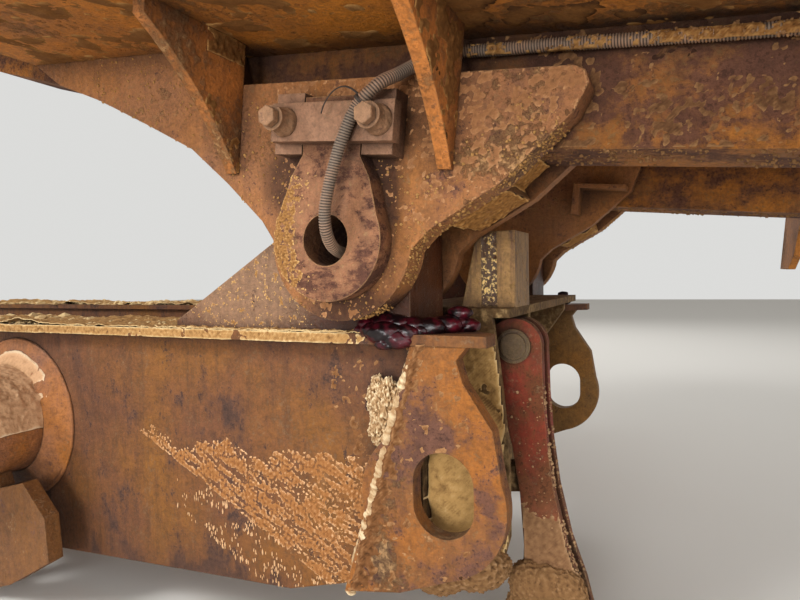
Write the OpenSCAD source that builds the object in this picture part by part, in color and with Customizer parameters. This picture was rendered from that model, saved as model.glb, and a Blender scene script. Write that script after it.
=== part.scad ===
// Dump body hinge section of a hauler: the tail of the rear frame, the hinge end
// of the dump body's underframe, the two hinge pins and the lock arm.
// Row frame: origin at the centre of the cross tube, +X to the front of the truck,
// +Y to its left, +Z up. The dump body is shown raised, as it stands for service.
// Each outline is a list of [x, z] points seen from the side, or [y, z] from the end.

/* [Hinge] */
// Distance from the cross tube back to the hinge pins
pin_back = 850; // [800:5:900]
// Height of the hinge pins above the cross tube
pin_rise = 340; // [325:5:360]
// Outside radius of a hinge pin
pin_r = 55; // [50:1:58]
// Radius of the hole through a hinge pin
pin_hole_r = 36; // [30:1:38]
// Running clearance between a pin and its ear
pin_play = 0.08; // [0.05:0.01:0.1]
// Radius of the round lower end of a hinge plate
fork_r = 115; // [108:1:120]
// Radius of the round top of a hinge ear
ear_r = 87; // [82:1:92]
// Width of a hinge ear
ear_w = 129; // [110:1:129]
// Side clearance between an ear and the hinge plates
ear_gap = 5; // [5:0.5:8]
// Thickness of the outer hinge plate
outer_plate_t = 50; // [40:1:55]
// Thickness of the inner hinge plate
inner_plate_t = 28; // [20:1:30]

/* [Cross tube] */
// Outside radius of the cross tube
tube_r = 110; // [105:1:112]
// Radius of the bore through the cross tube
tube_bore_r = 85; // [75:1:92]
// Half the length of the cross tube
tube_reach = 640; // [600:5:680]
// Radius of the cast collar at the rail
collar_r = 166; // [158:1:172]
// Width of the cast collar, out from the rail
collar_w = 26; // [20:1:34]
// Distance from the rail out to a link bracket under the tube
bracket_out = 62; // [50:1:70]

/* [Rear frame] */
// Distance from the centre to the outer face of a rail's web
web_out = 440; // [430:1:450]
// Width of a rail between the outer faces of its webs
rail_w = 140; // [130:1:150]
// Thickness of a rail's webs
web_t = 12; // [10:1:16]
// Thickness of a rail's flanges
flange_t = 16; // [12:1:20]
// How far a top flange stands out past the outer web
flange_over = 30; // [28:1:34]
// How far a top flange stands in past the inner web
flange_in = 15; // [10:1:20]
// Depth of a rail's top face below the hinge pins
rail_drop = 136; // [132:1:150]
// Distance from the hinge pins to the front end of the rails
rail_front = 2250; // [2100:10:2300]
// Depth of a rail at its front end
rail_depth = 476; // [460:1:500]
// Depth of a rail where it meets the tail
rail_tail_depth = 400; // [380:1:420]
// Thickness of a tie-down end plate
end_plate_t = 28; // [24:1:32]
// Width of the oval tie-down hole
oval_w = 92; // [80:1:100]
// Height of the oval tie-down hole
oval_h = 124; // [110:1:130]

/* [Tail cross-member] */
// Distance behind the pins of the cross-member's rear wall
wall_back = 92; // [90:1:100]
// Depth, front to back, of the cross-member's box
box_depth = 152; // [130:1:170]
// Thickness of the cross-member's walls
wall_t = 12; // [10:1:14]
// Thickness of the cross-member's top plate
deck_t = 15; // [12:1:18]
// Height of the top plate's upper face above the rails
deck_rise = 29; // [28:1:32]
// How far the top plate reaches behind the pins
deck_back = 197; // [190:1:200]
// Half the width of the top plate behind the rear wall
deck_half = 312; // [300:1:318]
// Depth of the cross-member below the rails' top
box_drop = 344; // [320:1:360]

/* [Guide post] */
// Length of the guide post at its foot, front to back
post_len = 93; // [84:1:98]
// Length of the guide post at its top
post_top_len = 71; // [66:1:74]
// Width of the guide post
post_w = 95; // [80:1:98]
// Height of the guide post above the top plate
post_h = 127; // [118:1:132]
// Clearance between the guide post and the inner hinge plate
post_gap = 13; // [10:1:18]
// Width of the wear strip at the guide post's rear
strip_w = 31; // [28:1:34]
// Width of the grease recess between the guide post's wear strips
recess_w = 27; // [24:1:28]

/* [Lock arm] */
// Distance of the arm's pivot behind the hinge pins
arm_back = 187; // [184:1:192]
// Depth of the arm's pivot below the hinge pins
arm_drop = 174; // [172:1:180]
// Distance between the arm's two eyes
arm_len = 460; // [440:5:480]
// How far the hanging arm leans to the rear, in degrees
arm_lean = 8.3; // [6:0.1:10]
// How far the arm swings up to the body's lug, in degrees
arm_swing = 60; // [55:1:62]
// Thickness of each of the arm's two plies
ply_t = 18; // [14:1:20]
// Gap between the two plies
ply_gap = 24; // [22:1:28]
// Distance from the centre to the middle of the arm
arm_y = 220; // [215:1:225]
// Radius of the arm's pivot pin
arm_pin_r = 22; // [20:1:24]
// Radius of the hole in the arm's free eye
arm_eye_hole_r = 21; // [18:1:23]

/* [Dump body] */
// Slope of the body's tail floor, in degrees, with the body raised as shown
body_lean = 6; // [4:0.5:8]
// How much further the body tips, in degrees
body_tip = 40; // [38:1:41]
// Height of the floor's underside above the pins, square to the floor
floor_h = 288; // [284:1:294]
// Thickness of the floor plate
floor_t = 16; // [12:1:20]
// Half the width of the floor plate
floor_half = 760; // [740:5:800]
// How far the floor's tail reaches behind the lug of the lock arm
tail_over = 86; // [82:1:100]
// Distance from the pins forward to the bend in the floor
bend_front = 690; // [680:5:700]
// Angle of the bend between the tail floor and the main floor
bend_angle = 22; // [20:0.5:24]
// Length of the main floor in front of the bend
main_len = 540; // [500:5:600]
// Height of the body beams' underside above the pins
beam_h = 139; // [136:1:142]
// Thickness of the beams' plates
beam_t = 12; // [10:1:14]
// Height of the outer hinge plate's top edge above the pins
plate_top = 228; // [222:1:234]
// Distance of the front gussets ahead of the pins
gusset_front = 188; // [180:1:196]
// Distance of the rear gussets behind the pins
gusset_back = 147; // [142:1:156]
// Thickness of the gussets
gusset_t = 20; // [16:1:22]
// Reach of the gussets out from the outer hinge plate
gusset_out = 190; // [180:1:200]
// Height of the body's lower side plates
side_h = 170; // [140:5:200]

/* [Pin keepers] */
// Thickness of a pin's flag
flag_t = 35; // [30:1:36]
// Radius of the ring of a pin's flag
flag_r = 86; // [82:1:90]
// Width of the stem of a pin's flag
stem_w = 92; // [84:1:94]
// Height of the stem above the pin's axis
stem_h = 195; // [190:1:198]
// Length of a keeper plate
keeper_len = 190; // [184:1:196]
// Height of a keeper plate
keeper_h = 52; // [48:1:56]
// Thickness of a keeper plate
keeper_t = 20; // [16:1:22]
// Distance between the two keeper bolts
bolt_span = 146; // [142:1:150]
// Radius of a keeper bolt's shank
bolt_r = 9; // [8:0.5:10]
// Outside radius of a spacer under a bolt's head
spacer_r = 12; // [11:0.5:13]
// Length of a spacer under a bolt's head
spacer_len = 26; // [22:1:30]

/* [Hidden] */

$fn = 64;
eps = 0.01;
paint = "#b9702c";
rust = "#8a4a2a";
steel = "#9a7a60";
arm_red = "#a8321f";
hose_grey = "#5d5850";

// Sideways places, from the centre out to the left
rail_in = web_out - rail_w;
flange_edge = web_out + flange_over;
ear_y = 321;
ear_out = ear_y + ear_w;
inner_plate_y = ear_y - ear_gap - inner_plate_t;
outer_plate_y = ear_out + ear_gap;
plate_face = outer_plate_y + outer_plate_t;
post_y = inner_plate_y - post_gap - post_w;
beam_in = ear_y - ear_gap;
beam_out = outer_plate_y - 3;
flag_face = plate_face + flag_t;
keeper_face = flag_face + keeper_t;

// Heights below the pins
flange_top = -rail_drop;
flange_bottom = -rail_drop - flange_t;
deck_top = flange_top + deck_rise;
deck_bottom = deck_top - deck_t;
wall_x = -wall_back;
box_front = wall_x + box_depth;
box_bottom = flange_top - box_drop;
deck_side = rail_in - flange_in - 3;

// A rail's top flange in plan: its outer lip runs on behind the ear to the end plate
lip_back = 208;
lip_in = 428;
notch_y = 340;

// Cheek plate under the top plate, beside the lock arm
cheek_y = 300;
cheek = [[wall_x + eps, deck_bottom], [-168, deck_bottom], [-182, -230], [-193, -346],
         [-193, box_bottom], [-170, box_bottom - 80], [-110, box_bottom - 80],
         [wall_x + eps, box_bottom]];

// Lower edge of a rail, from the tail to the front
rail_knee = [148, -rail_drop - rail_tail_depth - 36];
rail_edge = [[25, -rail_drop - rail_tail_depth], rail_knee, [780, -rail_drop - rail_depth],
             [rail_front, -rail_drop - rail_depth]];

// Tie-down end plate: its rear and its welded front edge, and the lobe round its hole
end_rear = [[30 - lip_back, flange_bottom], [-163, -171], [-172, -202], [-214, -266]];
end_foot = [-70, -519];
weld_edge = [[-93, flange_bottom], [-41, -324], [25, -rail_drop - rail_tail_depth]];
lobe = [-121, -378];
lobe_r = 112;
oval_x = -140;
oval_z = -365;

// Front slope of an ear: it leaves the round top as a tangent and ends on the flange
ear_toe = [375, flange_top];
toe_h = 12;

// Lock arm
arm_in = arm_y - ply_gap / 2 - ply_t;
arm_w = 2 * ply_t + ply_gap;
lug_t = ply_gap - 12;
arm_head_r = 47;
arm_tail_r = 55;
arm_waist = 29;
arm_flank = [[arm_head_r, 0], [36, -90], [30, -170], [arm_waist, -250], [36, 120 - arm_len],
             [50, 50 - arm_len], [arm_tail_r, -arm_len]];
pin_over = 9;
washer_t = 5;
stop_w = 44;
stop_low = 250;
stop_reach = 400;

// The lug on the body meets the arm's free eye with the arm swung up and the body
// fully tipped, so its place follows from the arm and from the two angles
arm_up = arm_lean + arm_swing;
meet = [-arm_back - arm_len * sin(arm_up), -arm_drop - arm_len * cos(arm_up)];
lug_at = turned(meet, -(body_lean + body_tip));

// The floor's tail, and the flaps in front of it
tail_back = tail_over - lug_at[0];
flap_x = 60 - tail_back;
flap_drop = 20;
flap_t = 16;
flap_lip = 48;
flap_side = 60;
tail_edge_h = 60;
bolster_out = 40;

// Outer and inner hinge plates, in the body's own axes
fork_back = 329;
fork_rear = [[-140, 24], [-232, 88], [-315, 175]];
fork_corner = [[-fork_back, plate_top - 20], [-fork_back + 6, plate_top - 6], [-fork_back + 20, plate_top]];
haunch = [[138, 22], [209, 77], [288, 131], [392, 172], [510, floor_h - 72], [620, floor_h - 40]];
haunch_tip = [890, floor_h + 15];

// Shelf on the inner side of an inner hinge plate, and the rib under its front end
shelf_w = 60;
shelf_x = -205;
shelf_z = 172;
shelf_t = 10;

// Lower ends of the front and rear gussets, and the hollow of their outer edges
gusset_foot = [92, 103];
gusset_hollow = 15;

// Keeper, and the flag's outline from the stem down to the ring
keeper_x = -8;
keeper_z = 157;
block_w = 46;
block_h = 84;
stem_play = 2;
shoulder = [[stem_w / 2, stem_h], [stem_w / 2, 1.35 * flag_r], [0.73 * flag_r, flag_r],
            (flag_r - 0.6) * [cos(21), sin(21)]];

// How far the flare of a tube collar is hollowed
collar_hollow = 5;

// Outline of a link bracket, and its hole
saddle = [[-210, -243], [-202, -159], [-140, -99], [-69, -118], [-45, -60], [95, -60],
          [120, -130], [100, -300], [30, -350], [-87, -311]];
link_hole = [20, -260];
link_hole_r = 32;
bracket_t = 30;

// Floor bend and the places in front of it
main_dir = [cos(bend_angle), sin(bend_angle)];
main_end = [bend_front + main_len * main_dir[0], floor_h + main_len * main_dir[1]];
chine = 100;
side_t = 12;
bolster_t = 16;
bolster_mid = 70;
member_w = 110;
member_drop = 40;
member_slope = 22;

// Harness hose, from inside the left hinge pin, past the keeper and along the beam
hose_r = 9;
hose_sides = 10;
hose_route = [[0, 250, -14], [-2, 330, -16], [-4, 410, -20], [-6, 480, -20], [-9, 530, -12],
              [-13, 556, 8], [-18, 567, 36], [-26, 569.3, 66], [-36, 569.3, 96], [-47, 569.3, 124],
              [-58, 569.3, 146], [-71, 569.3, 166], [-88, 570, 180], [-104, 562, 194],
              [-118, 540, 208], [-134, 510, 228], [-154, 488, 240], [-182, 472, 247],
              [-230, 466, 243], [-290, 465, 238], [-350, 465, 231], [-420, 465, 223],
              [-490, 465, 215], [-560, 465, 208], [-630, 465, 200], [-660, 465, 197],
              [-706, 465, 192]];

function turned(p, a) = [p[0] * cos(a) - p[1] * sin(a), p[0] * sin(a) + p[1] * cos(a)];
function unit(v) = v / norm(v);
function tangent_point(p, r) =
    let (d = norm(p), a = atan2(p[1], p[0]) + acos(r / d)) [r * cos(a), r * sin(a)];
function flip_z(points) = [for (i = [len(points) - 1:-1:0]) points[i]];
function flip_x(points) = [for (p = flip_z(points)) [-p[0], p[1]]];
// Points on a curve from a to b that bows out to its left by the given height
function bowed(a, b, height) =
    let (way = b - a, out = unit([-way[1], way[0]]))
    [for (t = [0:0.125:1]) a + t * way + 4 * height * t * (1 - t) * out];

module at_pin() translate([-pin_back, 0, pin_rise]) children();
module in_body() at_pin() rotate([0, -body_lean, 0]) children();
module in_arm() at_pin() translate([-arm_back, 0, -arm_drop]) rotate([0, arm_lean, 0]) children();
module left() children();
module right() mirror([0, 1, 0]) children();

// A plate cut to the sum of some [x, z] outlines, from y on outwards
module plate_xz(y, t) translate([0, y + t, 0]) rotate([90, 0, 0])
    for (i = [0:$children - 1]) linear_extrude(t) children(i);
// A plate cut to a [y, z] outline, from x on forwards
module plate_yz(x, t) translate([x, 0, 0]) rotate([90, 0, 90]) linear_extrude(t) children();
// A round bar along y
module bar_y(x, z, y, len, r) translate([x, y + len, z]) rotate([90, 0, 0]) cylinder(h = len, r = r);

// One rail: two webs, a wide top flange and a bottom flange that follows the lower edge
module rail() at_pin() {
    tail = wall_x + wall_t;
    outer = concat(flip_z(weld_edge), [[rail_front, flange_bottom]], [[rail_front, rail_edge[3][1]]],
                   [rail_edge[2], rail_knee]);
    inner = concat([[tail, flange_bottom], [rail_front, flange_bottom]], flip_z(rail_edge),
                   [[tail, box_bottom]]);
    difference() {
        union() {
            plate_xz(web_out - web_t, web_t) polygon(outer);
            plate_xz(rail_in, web_t) polygon(inner);
            translate([0, 0, flange_bottom]) linear_extrude(flange_t)
                polygon([[-lip_back, flange_edge], [-lip_back, lip_in], [wall_x + 1, notch_y],
                         [wall_x + 1, rail_in - flange_in], [rail_front, rail_in - flange_in],
                         [rail_front, flange_edge]]);
            plate_xz(rail_in + eps, rail_w - 2 * eps)
                polygon(concat(rail_edge, [for (p = flip_z(rail_edge)) p + [0, flange_t]]));
        }
        bar_y(pin_back, -pin_rise, rail_in - 1, rail_w + 2, tube_r + pin_play);
    }
}
module rail_left() color(paint) left() rail();
module rail_right() color(paint) right() rail();

// Tie-down end plate, thicker than the web it is welded to, with an oval hole
module end_plate() at_pin() difference() {
    plate_xz(web_out, end_plate_t) {
        polygon(concat(end_rear, [lobe + lobe_r * [-cos(20), sin(20)], lobe, end_foot, weld_edge[2]],
                       flip_z(weld_edge)));
        translate(lobe) circle(r = lobe_r);
        polygon([lobe + lobe_r * [cos(240), sin(240)], lobe, weld_edge[2], end_foot]);
    }
    for (z = [-1, 1])
        bar_y(oval_x, oval_z + z * (oval_h - oval_w) / 2, web_out - 1, end_plate_t + 2, oval_w / 2);
    translate([oval_x - oval_w / 2, web_out - 1, oval_z - (oval_h - oval_w) / 2])
        cube([oval_w, end_plate_t + 2, oval_h - oval_w]);
}
module end_plate_left() color(paint) left() end_plate();
module end_plate_right() color(paint) right() end_plate();

// Hinge ear on the rail: a round top, an upright rear face and a long front slope.
// The flat faces lie a little inside the round, so that they meet it in clean edges
module hinge_ear() at_pin() {
    flat_r = ear_r - 0.6;
    toe_top = ear_toe + [0, toe_h];
    difference() {
        plate_xz(ear_y, ear_w) {
            circle(r = ear_r);
            polygon([[-flat_r, 0], [-flat_r, flange_top], ear_toe, toe_top,
                     tangent_point(toe_top, flat_r), [0, 0]]);
        }
        bar_y(0, 0, ear_y - 1, ear_w + 2, pin_r + pin_play);
    }
}
module hinge_ear_left() color(rust) left() hinge_ear();
module hinge_ear_right() color(rust) right() hinge_ear();

// Top plate of the tail cross-member, between the rails and wider behind them
module tail_deck() color(paint) at_pin() {
    translate([-deck_back, -deck_half, deck_bottom]) cube([deck_back + wall_x, 2 * deck_half, deck_t]);
    translate([wall_x - eps, -deck_side, deck_bottom]) cube([box_depth + eps, 2 * deck_side, deck_t]);
}

// Rear wall, bottom and front wall of the tail cross-member, two ribs under the deck
// and the cheek plate on the left
module tail_box() color(rust) at_pin() {
    inner = rail_in - eps;
    half_wall = [[deck_side, deck_bottom], [deck_side, flange_bottom], [web_out - web_t, flange_bottom],
                 [web_out - web_t, box_bottom + 60], [rail_in, box_bottom]];
    plate_yz(wall_x, wall_t) polygon(concat(half_wall, flip_x(half_wall)));
    translate([wall_x + eps, -inner, box_bottom]) cube([box_depth - eps, 2 * inner, wall_t]);
    translate([box_front - wall_t, -deck_side, box_bottom])
        cube([wall_t, 2 * deck_side, deck_bottom - box_bottom]);
    plate_xz(cheek_y, wall_t) polygon(cheek);
    for (y = [-220, 130])
        plate_xz(y, 16) polygon([[wall_x + eps, deck_bottom], [-deck_back + 10, deck_bottom],
                                 [-deck_back + 10, deck_bottom - 16], [wall_x + eps, deck_bottom - 150]]);
}

// Guide post that keeps the body's fork central as it comes down: its front leans
// back to a rounded top, and its side has a grease recess between two wear strips
module guide_post_left() color(steel) at_pin() {
    rear = -deck_back;
    top = deck_top + post_h;
    corner_r = 26;
    recess = 4;
    corner = [rear + post_top_len - corner_r, top - corner_r];
    difference() {
        plate_xz(post_y, post_w)
            polygon(concat([[rear, top], [rear, deck_top], [rear + post_len, deck_top]],
                           [for (a = [0:15:90]) corner + corner_r * [cos(a), sin(a)]]));
        translate([rear + strip_w, post_y + post_w - recess, deck_top - 1])
            cube([recess_w, recess + 1, post_h + 2]);
    }
}

// Cross tube through both rails, open from end to end
module cross_tube() color(paint) difference() {
    bar_y(0, 0, -tube_reach, 2 * tube_reach, tube_r);
    bar_y(0, 0, -tube_reach - 1, 2 * tube_reach + 2, tube_bore_r);
}

// Cast collar that carries the tube on the rail, flared towards the web
module tube_collar() translate([0, web_out, 0]) rotate([-90, 0, 0]) rotate_extrude()
    polygon(concat([[tube_r, 0], [collar_r, 0]],
                   bowed([collar_r, 4], [tube_r + 3, collar_w], collar_hollow), [[tube_r, collar_w]]));
module tube_collar_left() color(paint) left() tube_collar();
module tube_collar_right() color(paint) right() tube_collar();

// Bracket saddled under the tube's end, with a bore for a suspension link
module link_bracket() {
    y0 = web_out + bracket_out;
    difference() {
        plate_xz(y0, bracket_t) difference() {
            polygon(saddle);
            circle(r = tube_r);
        }
        bar_y(link_hole[0], link_hole[1], y0 - 1, bracket_t + 2, link_hole_r);
    }
}
module link_bracket_left() color(rust) left() link_bracket();
module link_bracket_right() color(rust) right() link_bracket();

// Lug on the cross-member's rear wall that the lock arm hangs from
module arm_lug() color(rust) at_pin() difference() {
    plate_xz(arm_y - lug_t / 2, lug_t) {
        translate([-arm_back, -arm_drop]) circle(r = 40);
        polygon([[-arm_back, -arm_drop + 40], [wall_x, -arm_drop + 40], [wall_x, -arm_drop - 100],
                 [-arm_back - 28, -arm_drop - 28], [-arm_back, -arm_drop]]);
    }
    bar_y(-arm_back, -arm_drop, arm_in, arm_w, arm_pin_r);
}

// Pivot pin of the lock arm, with a collar at each end
module arm_pin() color(steel) at_pin() {
    bar_y(-arm_back, -arm_drop, arm_in - pin_over, arm_w + 2 * pin_over, arm_pin_r);
    for (y = [arm_in - 1 - washer_t, arm_in + arm_w + 1])
        bar_y(-arm_back, -arm_drop, y, washer_t, arm_pin_r + 7);
}

// Stop on the rear wall that the hanging arm leans on
module arm_stop() color(rust) intersection() {
    in_arm() translate([arm_waist + 1.3, arm_y - stop_w / 2, -stop_low]) cube([stop_reach, stop_w, stop_w]);
    at_pin() translate([-stop_reach, 0, -2 * stop_reach])
        cube([stop_reach + wall_x, 2 * stop_reach, 2 * stop_reach]);
}

// Tail floor of the dump body
module body_floor() color(paint) in_body()
    translate([-tail_back, -floor_half, floor_h]) cube([tail_back + bend_front, 2 * floor_half, floor_t]);

// Main floor, which slopes up in front of the bend
module main_floor() color(paint) in_body() plate_xz(-floor_half, 2 * floor_half)
    polygon([[bend_front + eps, floor_h], main_end, main_end + floor_t * [-main_dir[1], main_dir[0]],
             [bend_front + eps, floor_h + floor_t]]);

// Lower side of the body: a chine plate at 45 degrees and an upright plate
module body_side() in_body() plate_yz(-tail_back, tail_back + bend_front)
    polygon([[floor_half, floor_h], [floor_half + chine, floor_h + chine],
             [floor_half + chine, floor_h + chine + side_h],
             [floor_half + chine - side_t, floor_h + chine + side_h],
             [floor_half + chine - side_t, floor_h + chine + 5],
             [floor_half, floor_h + floor_t + eps]]);
module body_side_left() color(paint) left() body_side();
module body_side_right() color(paint) right() body_side();

// Box beam under the floor. Its front end rises along the haunch into the main floor
module body_beam() in_body() {
    rear = -tail_back + bolster_t;
    knee = 300;
    tip = [640, floor_h - 30];
    wall = beam_t;
    outline = [[rear, beam_h], [knee, beam_h], tip, haunch_tip, main_end - [0, 62],
               main_end - [0, eps], [bend_front, floor_h - eps], [rear, floor_h - eps]];
    hollow = [[rear - 1, beam_h + wall], [knee - 3, beam_h + wall], tip + [-5, wall],
              haunch_tip + [-4, wall], main_end + [1, wall - 62],
              main_end + [1, 30], [bend_front, floor_h + 30], [rear - 1, floor_h + 30]];
    difference() {
        plate_xz(beam_in, beam_out - beam_in) polygon(outline);
        plate_xz(beam_in + wall, beam_out - beam_in - 2 * wall) polygon(hollow);
    }
}
module body_beam_left() color(rust) left() body_beam();
module body_beam_right() color(rust) right() body_beam();

// Outer hinge plate: a thick doubler outside the beam's web
module outer_hinge_plate() in_body() difference() {
    plate_xz(outer_plate_y, outer_plate_t) {
        circle(r = fork_r);
        polygon(concat([[-fork_r + 3, -8]], fork_rear, fork_corner, [[gusset_front + gusset_t, plate_top],
                       [gusset_front + gusset_t + 20, floor_h - eps], [bend_front, floor_h - eps]],
                       flip_z(haunch), [[fork_r - 2, -8]]));
    }
    bar_y(0, 0, outer_plate_y - 1, outer_plate_t + 2, pin_r);
}
module outer_hinge_plate_left() color(paint) left() outer_hinge_plate();
module outer_hinge_plate_right() color(paint) right() outer_hinge_plate();

// Inner hinge plate, which runs up to the floor, with a small shelf at its rear
module inner_hinge_plate() in_body() {
    difference() {
        plate_xz(inner_plate_y, inner_plate_t) {
            circle(r = fork_r);
            polygon(concat([[-fork_r + 3, -8]], fork_rear,
                           [[-fork_back, plate_top], [-fork_back, floor_h - eps]],
                           [[bend_front, floor_h - eps]], flip_z(haunch), [[fork_r - 2, -8]]));
        }
        bar_y(0, 0, inner_plate_y - 1, inner_plate_t + 2, pin_r);
    }
    translate([1.5 * shelf_x, inner_plate_y - shelf_w, shelf_z])
        cube([-0.5 * shelf_x, shelf_w + eps, shelf_t]);
    translate([shelf_x - eps, inner_plate_y - shelf_w, 0.64 * shelf_z])
        cube([1.5 * shelf_t, shelf_w + eps, 0.36 * shelf_z + shelf_t]);
}
module inner_hinge_plate_left() color(paint) left() inner_hinge_plate();
module inner_hinge_plate_right() color(paint) right() inner_hinge_plate();

// Plates that close the fork at the rear between its two hinge plates: the lower one
// lies nearly flush with their edges, the upper one is set in
module closing_plate() in_body() {
    span = norm(fork_rear[1] - fork_rear[0]);
    along = [unit(fork_rear[1] - fork_rear[0]), unit(fork_rear[2] - fork_rear[1])];
    in = [for (d = along) [d[1], -d[0]]];
    t = 16;
    lower = [for (d = [14, span - 6]) fork_rear[0] + d * along[0] + 3 * in[0]];
    foot = fork_rear[1] + 22 * in[1];
    head = foot + (beam_h - foot[1]) / along[1][1] * along[1];
    plate_xz(beam_in + eps, outer_plate_y - beam_in - 2 * eps) {
        polygon([lower[0], lower[1], lower[1] + t * in[0], lower[0] + t * in[0]]);
        polygon([foot, head, head + [t / along[1][1], 0], foot + t * in[1]]);
    }
}
module closing_plate_left() color(paint) left() closing_plate();
module closing_plate_right() color(paint) right() closing_plate();

// Two upright gussets between the outer hinge plate and the floor, hollowed outside
module gussets() in_body() for (i = [0, 1])
    plate_yz([gusset_front, -gusset_back - gusset_t][i], gusset_t)
        polygon(concat([[plate_face, floor_h - eps], [plate_face, gusset_foot[i]]],
                       bowed([plate_face + 6, gusset_foot[i]], [plate_face + gusset_out, floor_h - 22],
                             gusset_hollow),
                       [[plate_face + gusset_out, floor_h - eps]]));
module gussets_left() color(paint) left() gussets();
module gussets_right() color(paint) right() gussets();

// Folded cross-member between the hinge plates, under the bend of the floor
module front_cross_member() color(paint) in_body() {
    x0 = bend_front - member_w;
    low = floor_h - member_drop;
    plate_xz(-inner_plate_y, 2 * inner_plate_y)
        polygon([[x0, floor_h - eps], [x0 + member_slope, low], [bend_front - member_slope, low],
                 [bend_front, floor_h - eps], [bend_front - beam_t, floor_h - eps],
                 [bend_front - member_slope - beam_t, low + beam_t],
                 [x0 + member_slope + beam_t, low + beam_t], [x0 + beam_t, floor_h - eps]]);
}

// Plate that closes the beams at the tail
module tail_bolster() color(rust) in_body()
    plate_yz(-tail_back, bolster_t) {
        half = [[floor_half, floor_h - eps], [floor_half, floor_h - tail_edge_h],
                [beam_out + bolster_out, beam_h], [beam_in, beam_h], [beam_in - 20, floor_h - bolster_mid]];
        polygon(concat(half, flip_x(half)));
    }

// Flap plate outboard of a beam that shields the tail lamps' harness
module tail_flap() in_body() plate_yz(flap_x, flap_t)
    polygon([[beam_out + 0.3, floor_h - eps], [beam_out + 0.3, beam_h],
             [beam_out + flap_lip, flap_drop + flap_side / 2], [beam_out + flap_lip + flap_side, flap_drop],
             [floor_half - flap_side, flap_drop], [floor_half - flap_side / 6, floor_h - eps]]);
module tail_flap_left() color(rust) left() tail_flap();
module tail_flap_right() color(rust) right() tail_flap();

// Lug under the floor that the lock arm is pinned to with the body fully tipped
module lock_lug() color(rust) in_body() difference() {
    plate_xz(arm_y - lug_t / 2, lug_t) {
        translate(lug_at) circle(r = 40);
        polygon([lug_at + [-40, 0], lug_at + [40, 0], [lug_at[0] + 60, floor_h - eps],
                 [lug_at[0] - 60, floor_h - eps]]);
    }
    bar_y(lug_at[0], lug_at[1], arm_in, arm_w, arm_eye_hole_r);
}

// Hollow hinge pin with its keyhole-shaped flag, which keeps it from turning
module hinge_pin() in_body() difference() {
    union() {
        bar_y(0, 0, inner_plate_y - 20, flag_face - inner_plate_y + 20, pin_r);
        plate_xz(plate_face, flag_t) {
            circle(r = flag_r);
            polygon(concat(shoulder, [[0, 0]], flip_x(shoulder)));
        }
    }
    bar_y(0, 0, inner_plate_y - 22, flag_face - inner_plate_y + 24, pin_hole_r);
}
module hinge_pin_left() color(steel) left() hinge_pin();
module hinge_pin_right() color(steel) right() hinge_pin();

// Blocks on the outer hinge plate, one each side of the flag's stem
module keeper_blocks() in_body() difference() {
    for (x = [-stem_w / 2 - stem_play - block_w, stem_w / 2 + stem_play])
        translate([x, plate_face, keeper_z - block_h / 2 + 2]) cube([block_w, flag_t, block_h]);
    for (side = [-1, 1])
        bar_y(keeper_x + side * bolt_span / 2, keeper_z, plate_face - 1, flag_t + 2, bolt_r);
}
module keeper_blocks_left() color(steel) left() keeper_blocks();
module keeper_blocks_right() color(steel) right() keeper_blocks();

// Keeper plate bolted across the stem
module keeper_plate() in_body() difference() {
    translate([keeper_x - keeper_len / 2, flag_face, keeper_z - keeper_h / 2])
        cube([keeper_len, keeper_t, keeper_h]);
    for (side = [-1, 1])
        bar_y(keeper_x + side * bolt_span / 2, keeper_z, flag_face - 1, keeper_t + 2, bolt_r);
}
module keeper_plate_left() color(steel) left() keeper_plate();
module keeper_plate_right() color(steel) right() keeper_plate();

// Keeper bolts: shank, long spacer, washer and hexagon head
module keeper_bolts() in_body() for (side = [-1, 1]) {
    x = keeper_x + side * bolt_span / 2;
    bar_y(x, keeper_z, plate_face + 2, keeper_face + spacer_len - plate_face, bolt_r);
    bar_y(x, keeper_z, keeper_face, spacer_len, spacer_r);
    bar_y(x, keeper_z, keeper_face + spacer_len - eps, 4, 17);
    translate([x, keeper_face + spacer_len + 17, keeper_z]) rotate([90, 0, 0])
        cylinder(h = 14, r = 14, $fn = 6);
}
module keeper_bolts_left() color(steel) left() keeper_bolts();
module keeper_bolts_right() color(steel) right() keeper_bolts();

// Spiral-guarded harness hose, swept along its route
module harness_hose() color(hose_grey) at_pin() {
    n = len(hose_route);
    ways = [for (i = [0:n - 1]) unit(hose_route[min(i + 1, n - 1)] - hose_route[max(i - 1, 0)])];
    rings = [for (i = [0:n - 1])
        let (side = unit(cross(ways[i], [0.2, 0.3, 1])), up = cross(side, ways[i]))
        for (k = [0:hose_sides - 1])
            hose_route[i] + hose_r * (cos(360 * k / hose_sides) * side + sin(360 * k / hose_sides) * up)];
    skin = [for (i = [0:n - 2], k = [0:hose_sides - 1])
        let (a = i * hose_sides + k, b = i * hose_sides + (k + 1) % hose_sides)
        [a, b, b + hose_sides, a + hose_sides]];
    caps = [[for (k = [hose_sides - 1:-1:0]) k], [for (k = [0:hose_sides - 1]) (n - 1) * hose_sides + k]];
    polyhedron(points = rings, faces = concat(skin, caps));
}

// Lock arm: two plies with an eye at each end, joined by two blocks
module lock_arm() color(arm_red) in_arm() difference() {
    union() {
        for (y = [arm_in, arm_in + ply_t + ply_gap])
            plate_xz(y, ply_t) {
                circle(r = arm_head_r);
                translate([0, -arm_len]) circle(r = arm_tail_r);
                polygon(concat(arm_flank, flip_x(arm_flank)));
            }
        for (z = [-250, -150])
            translate([7 - arm_waist, arm_in + eps, z]) cube([2 * arm_waist - 14, arm_w - 2 * eps, 40]);
    }
    bar_y(0, 0, arm_in - 1, arm_w + 2, arm_pin_r + pin_play);
    bar_y(0, -arm_len, arm_in - 1, arm_w + 2, arm_eye_hole_r);
}

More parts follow.
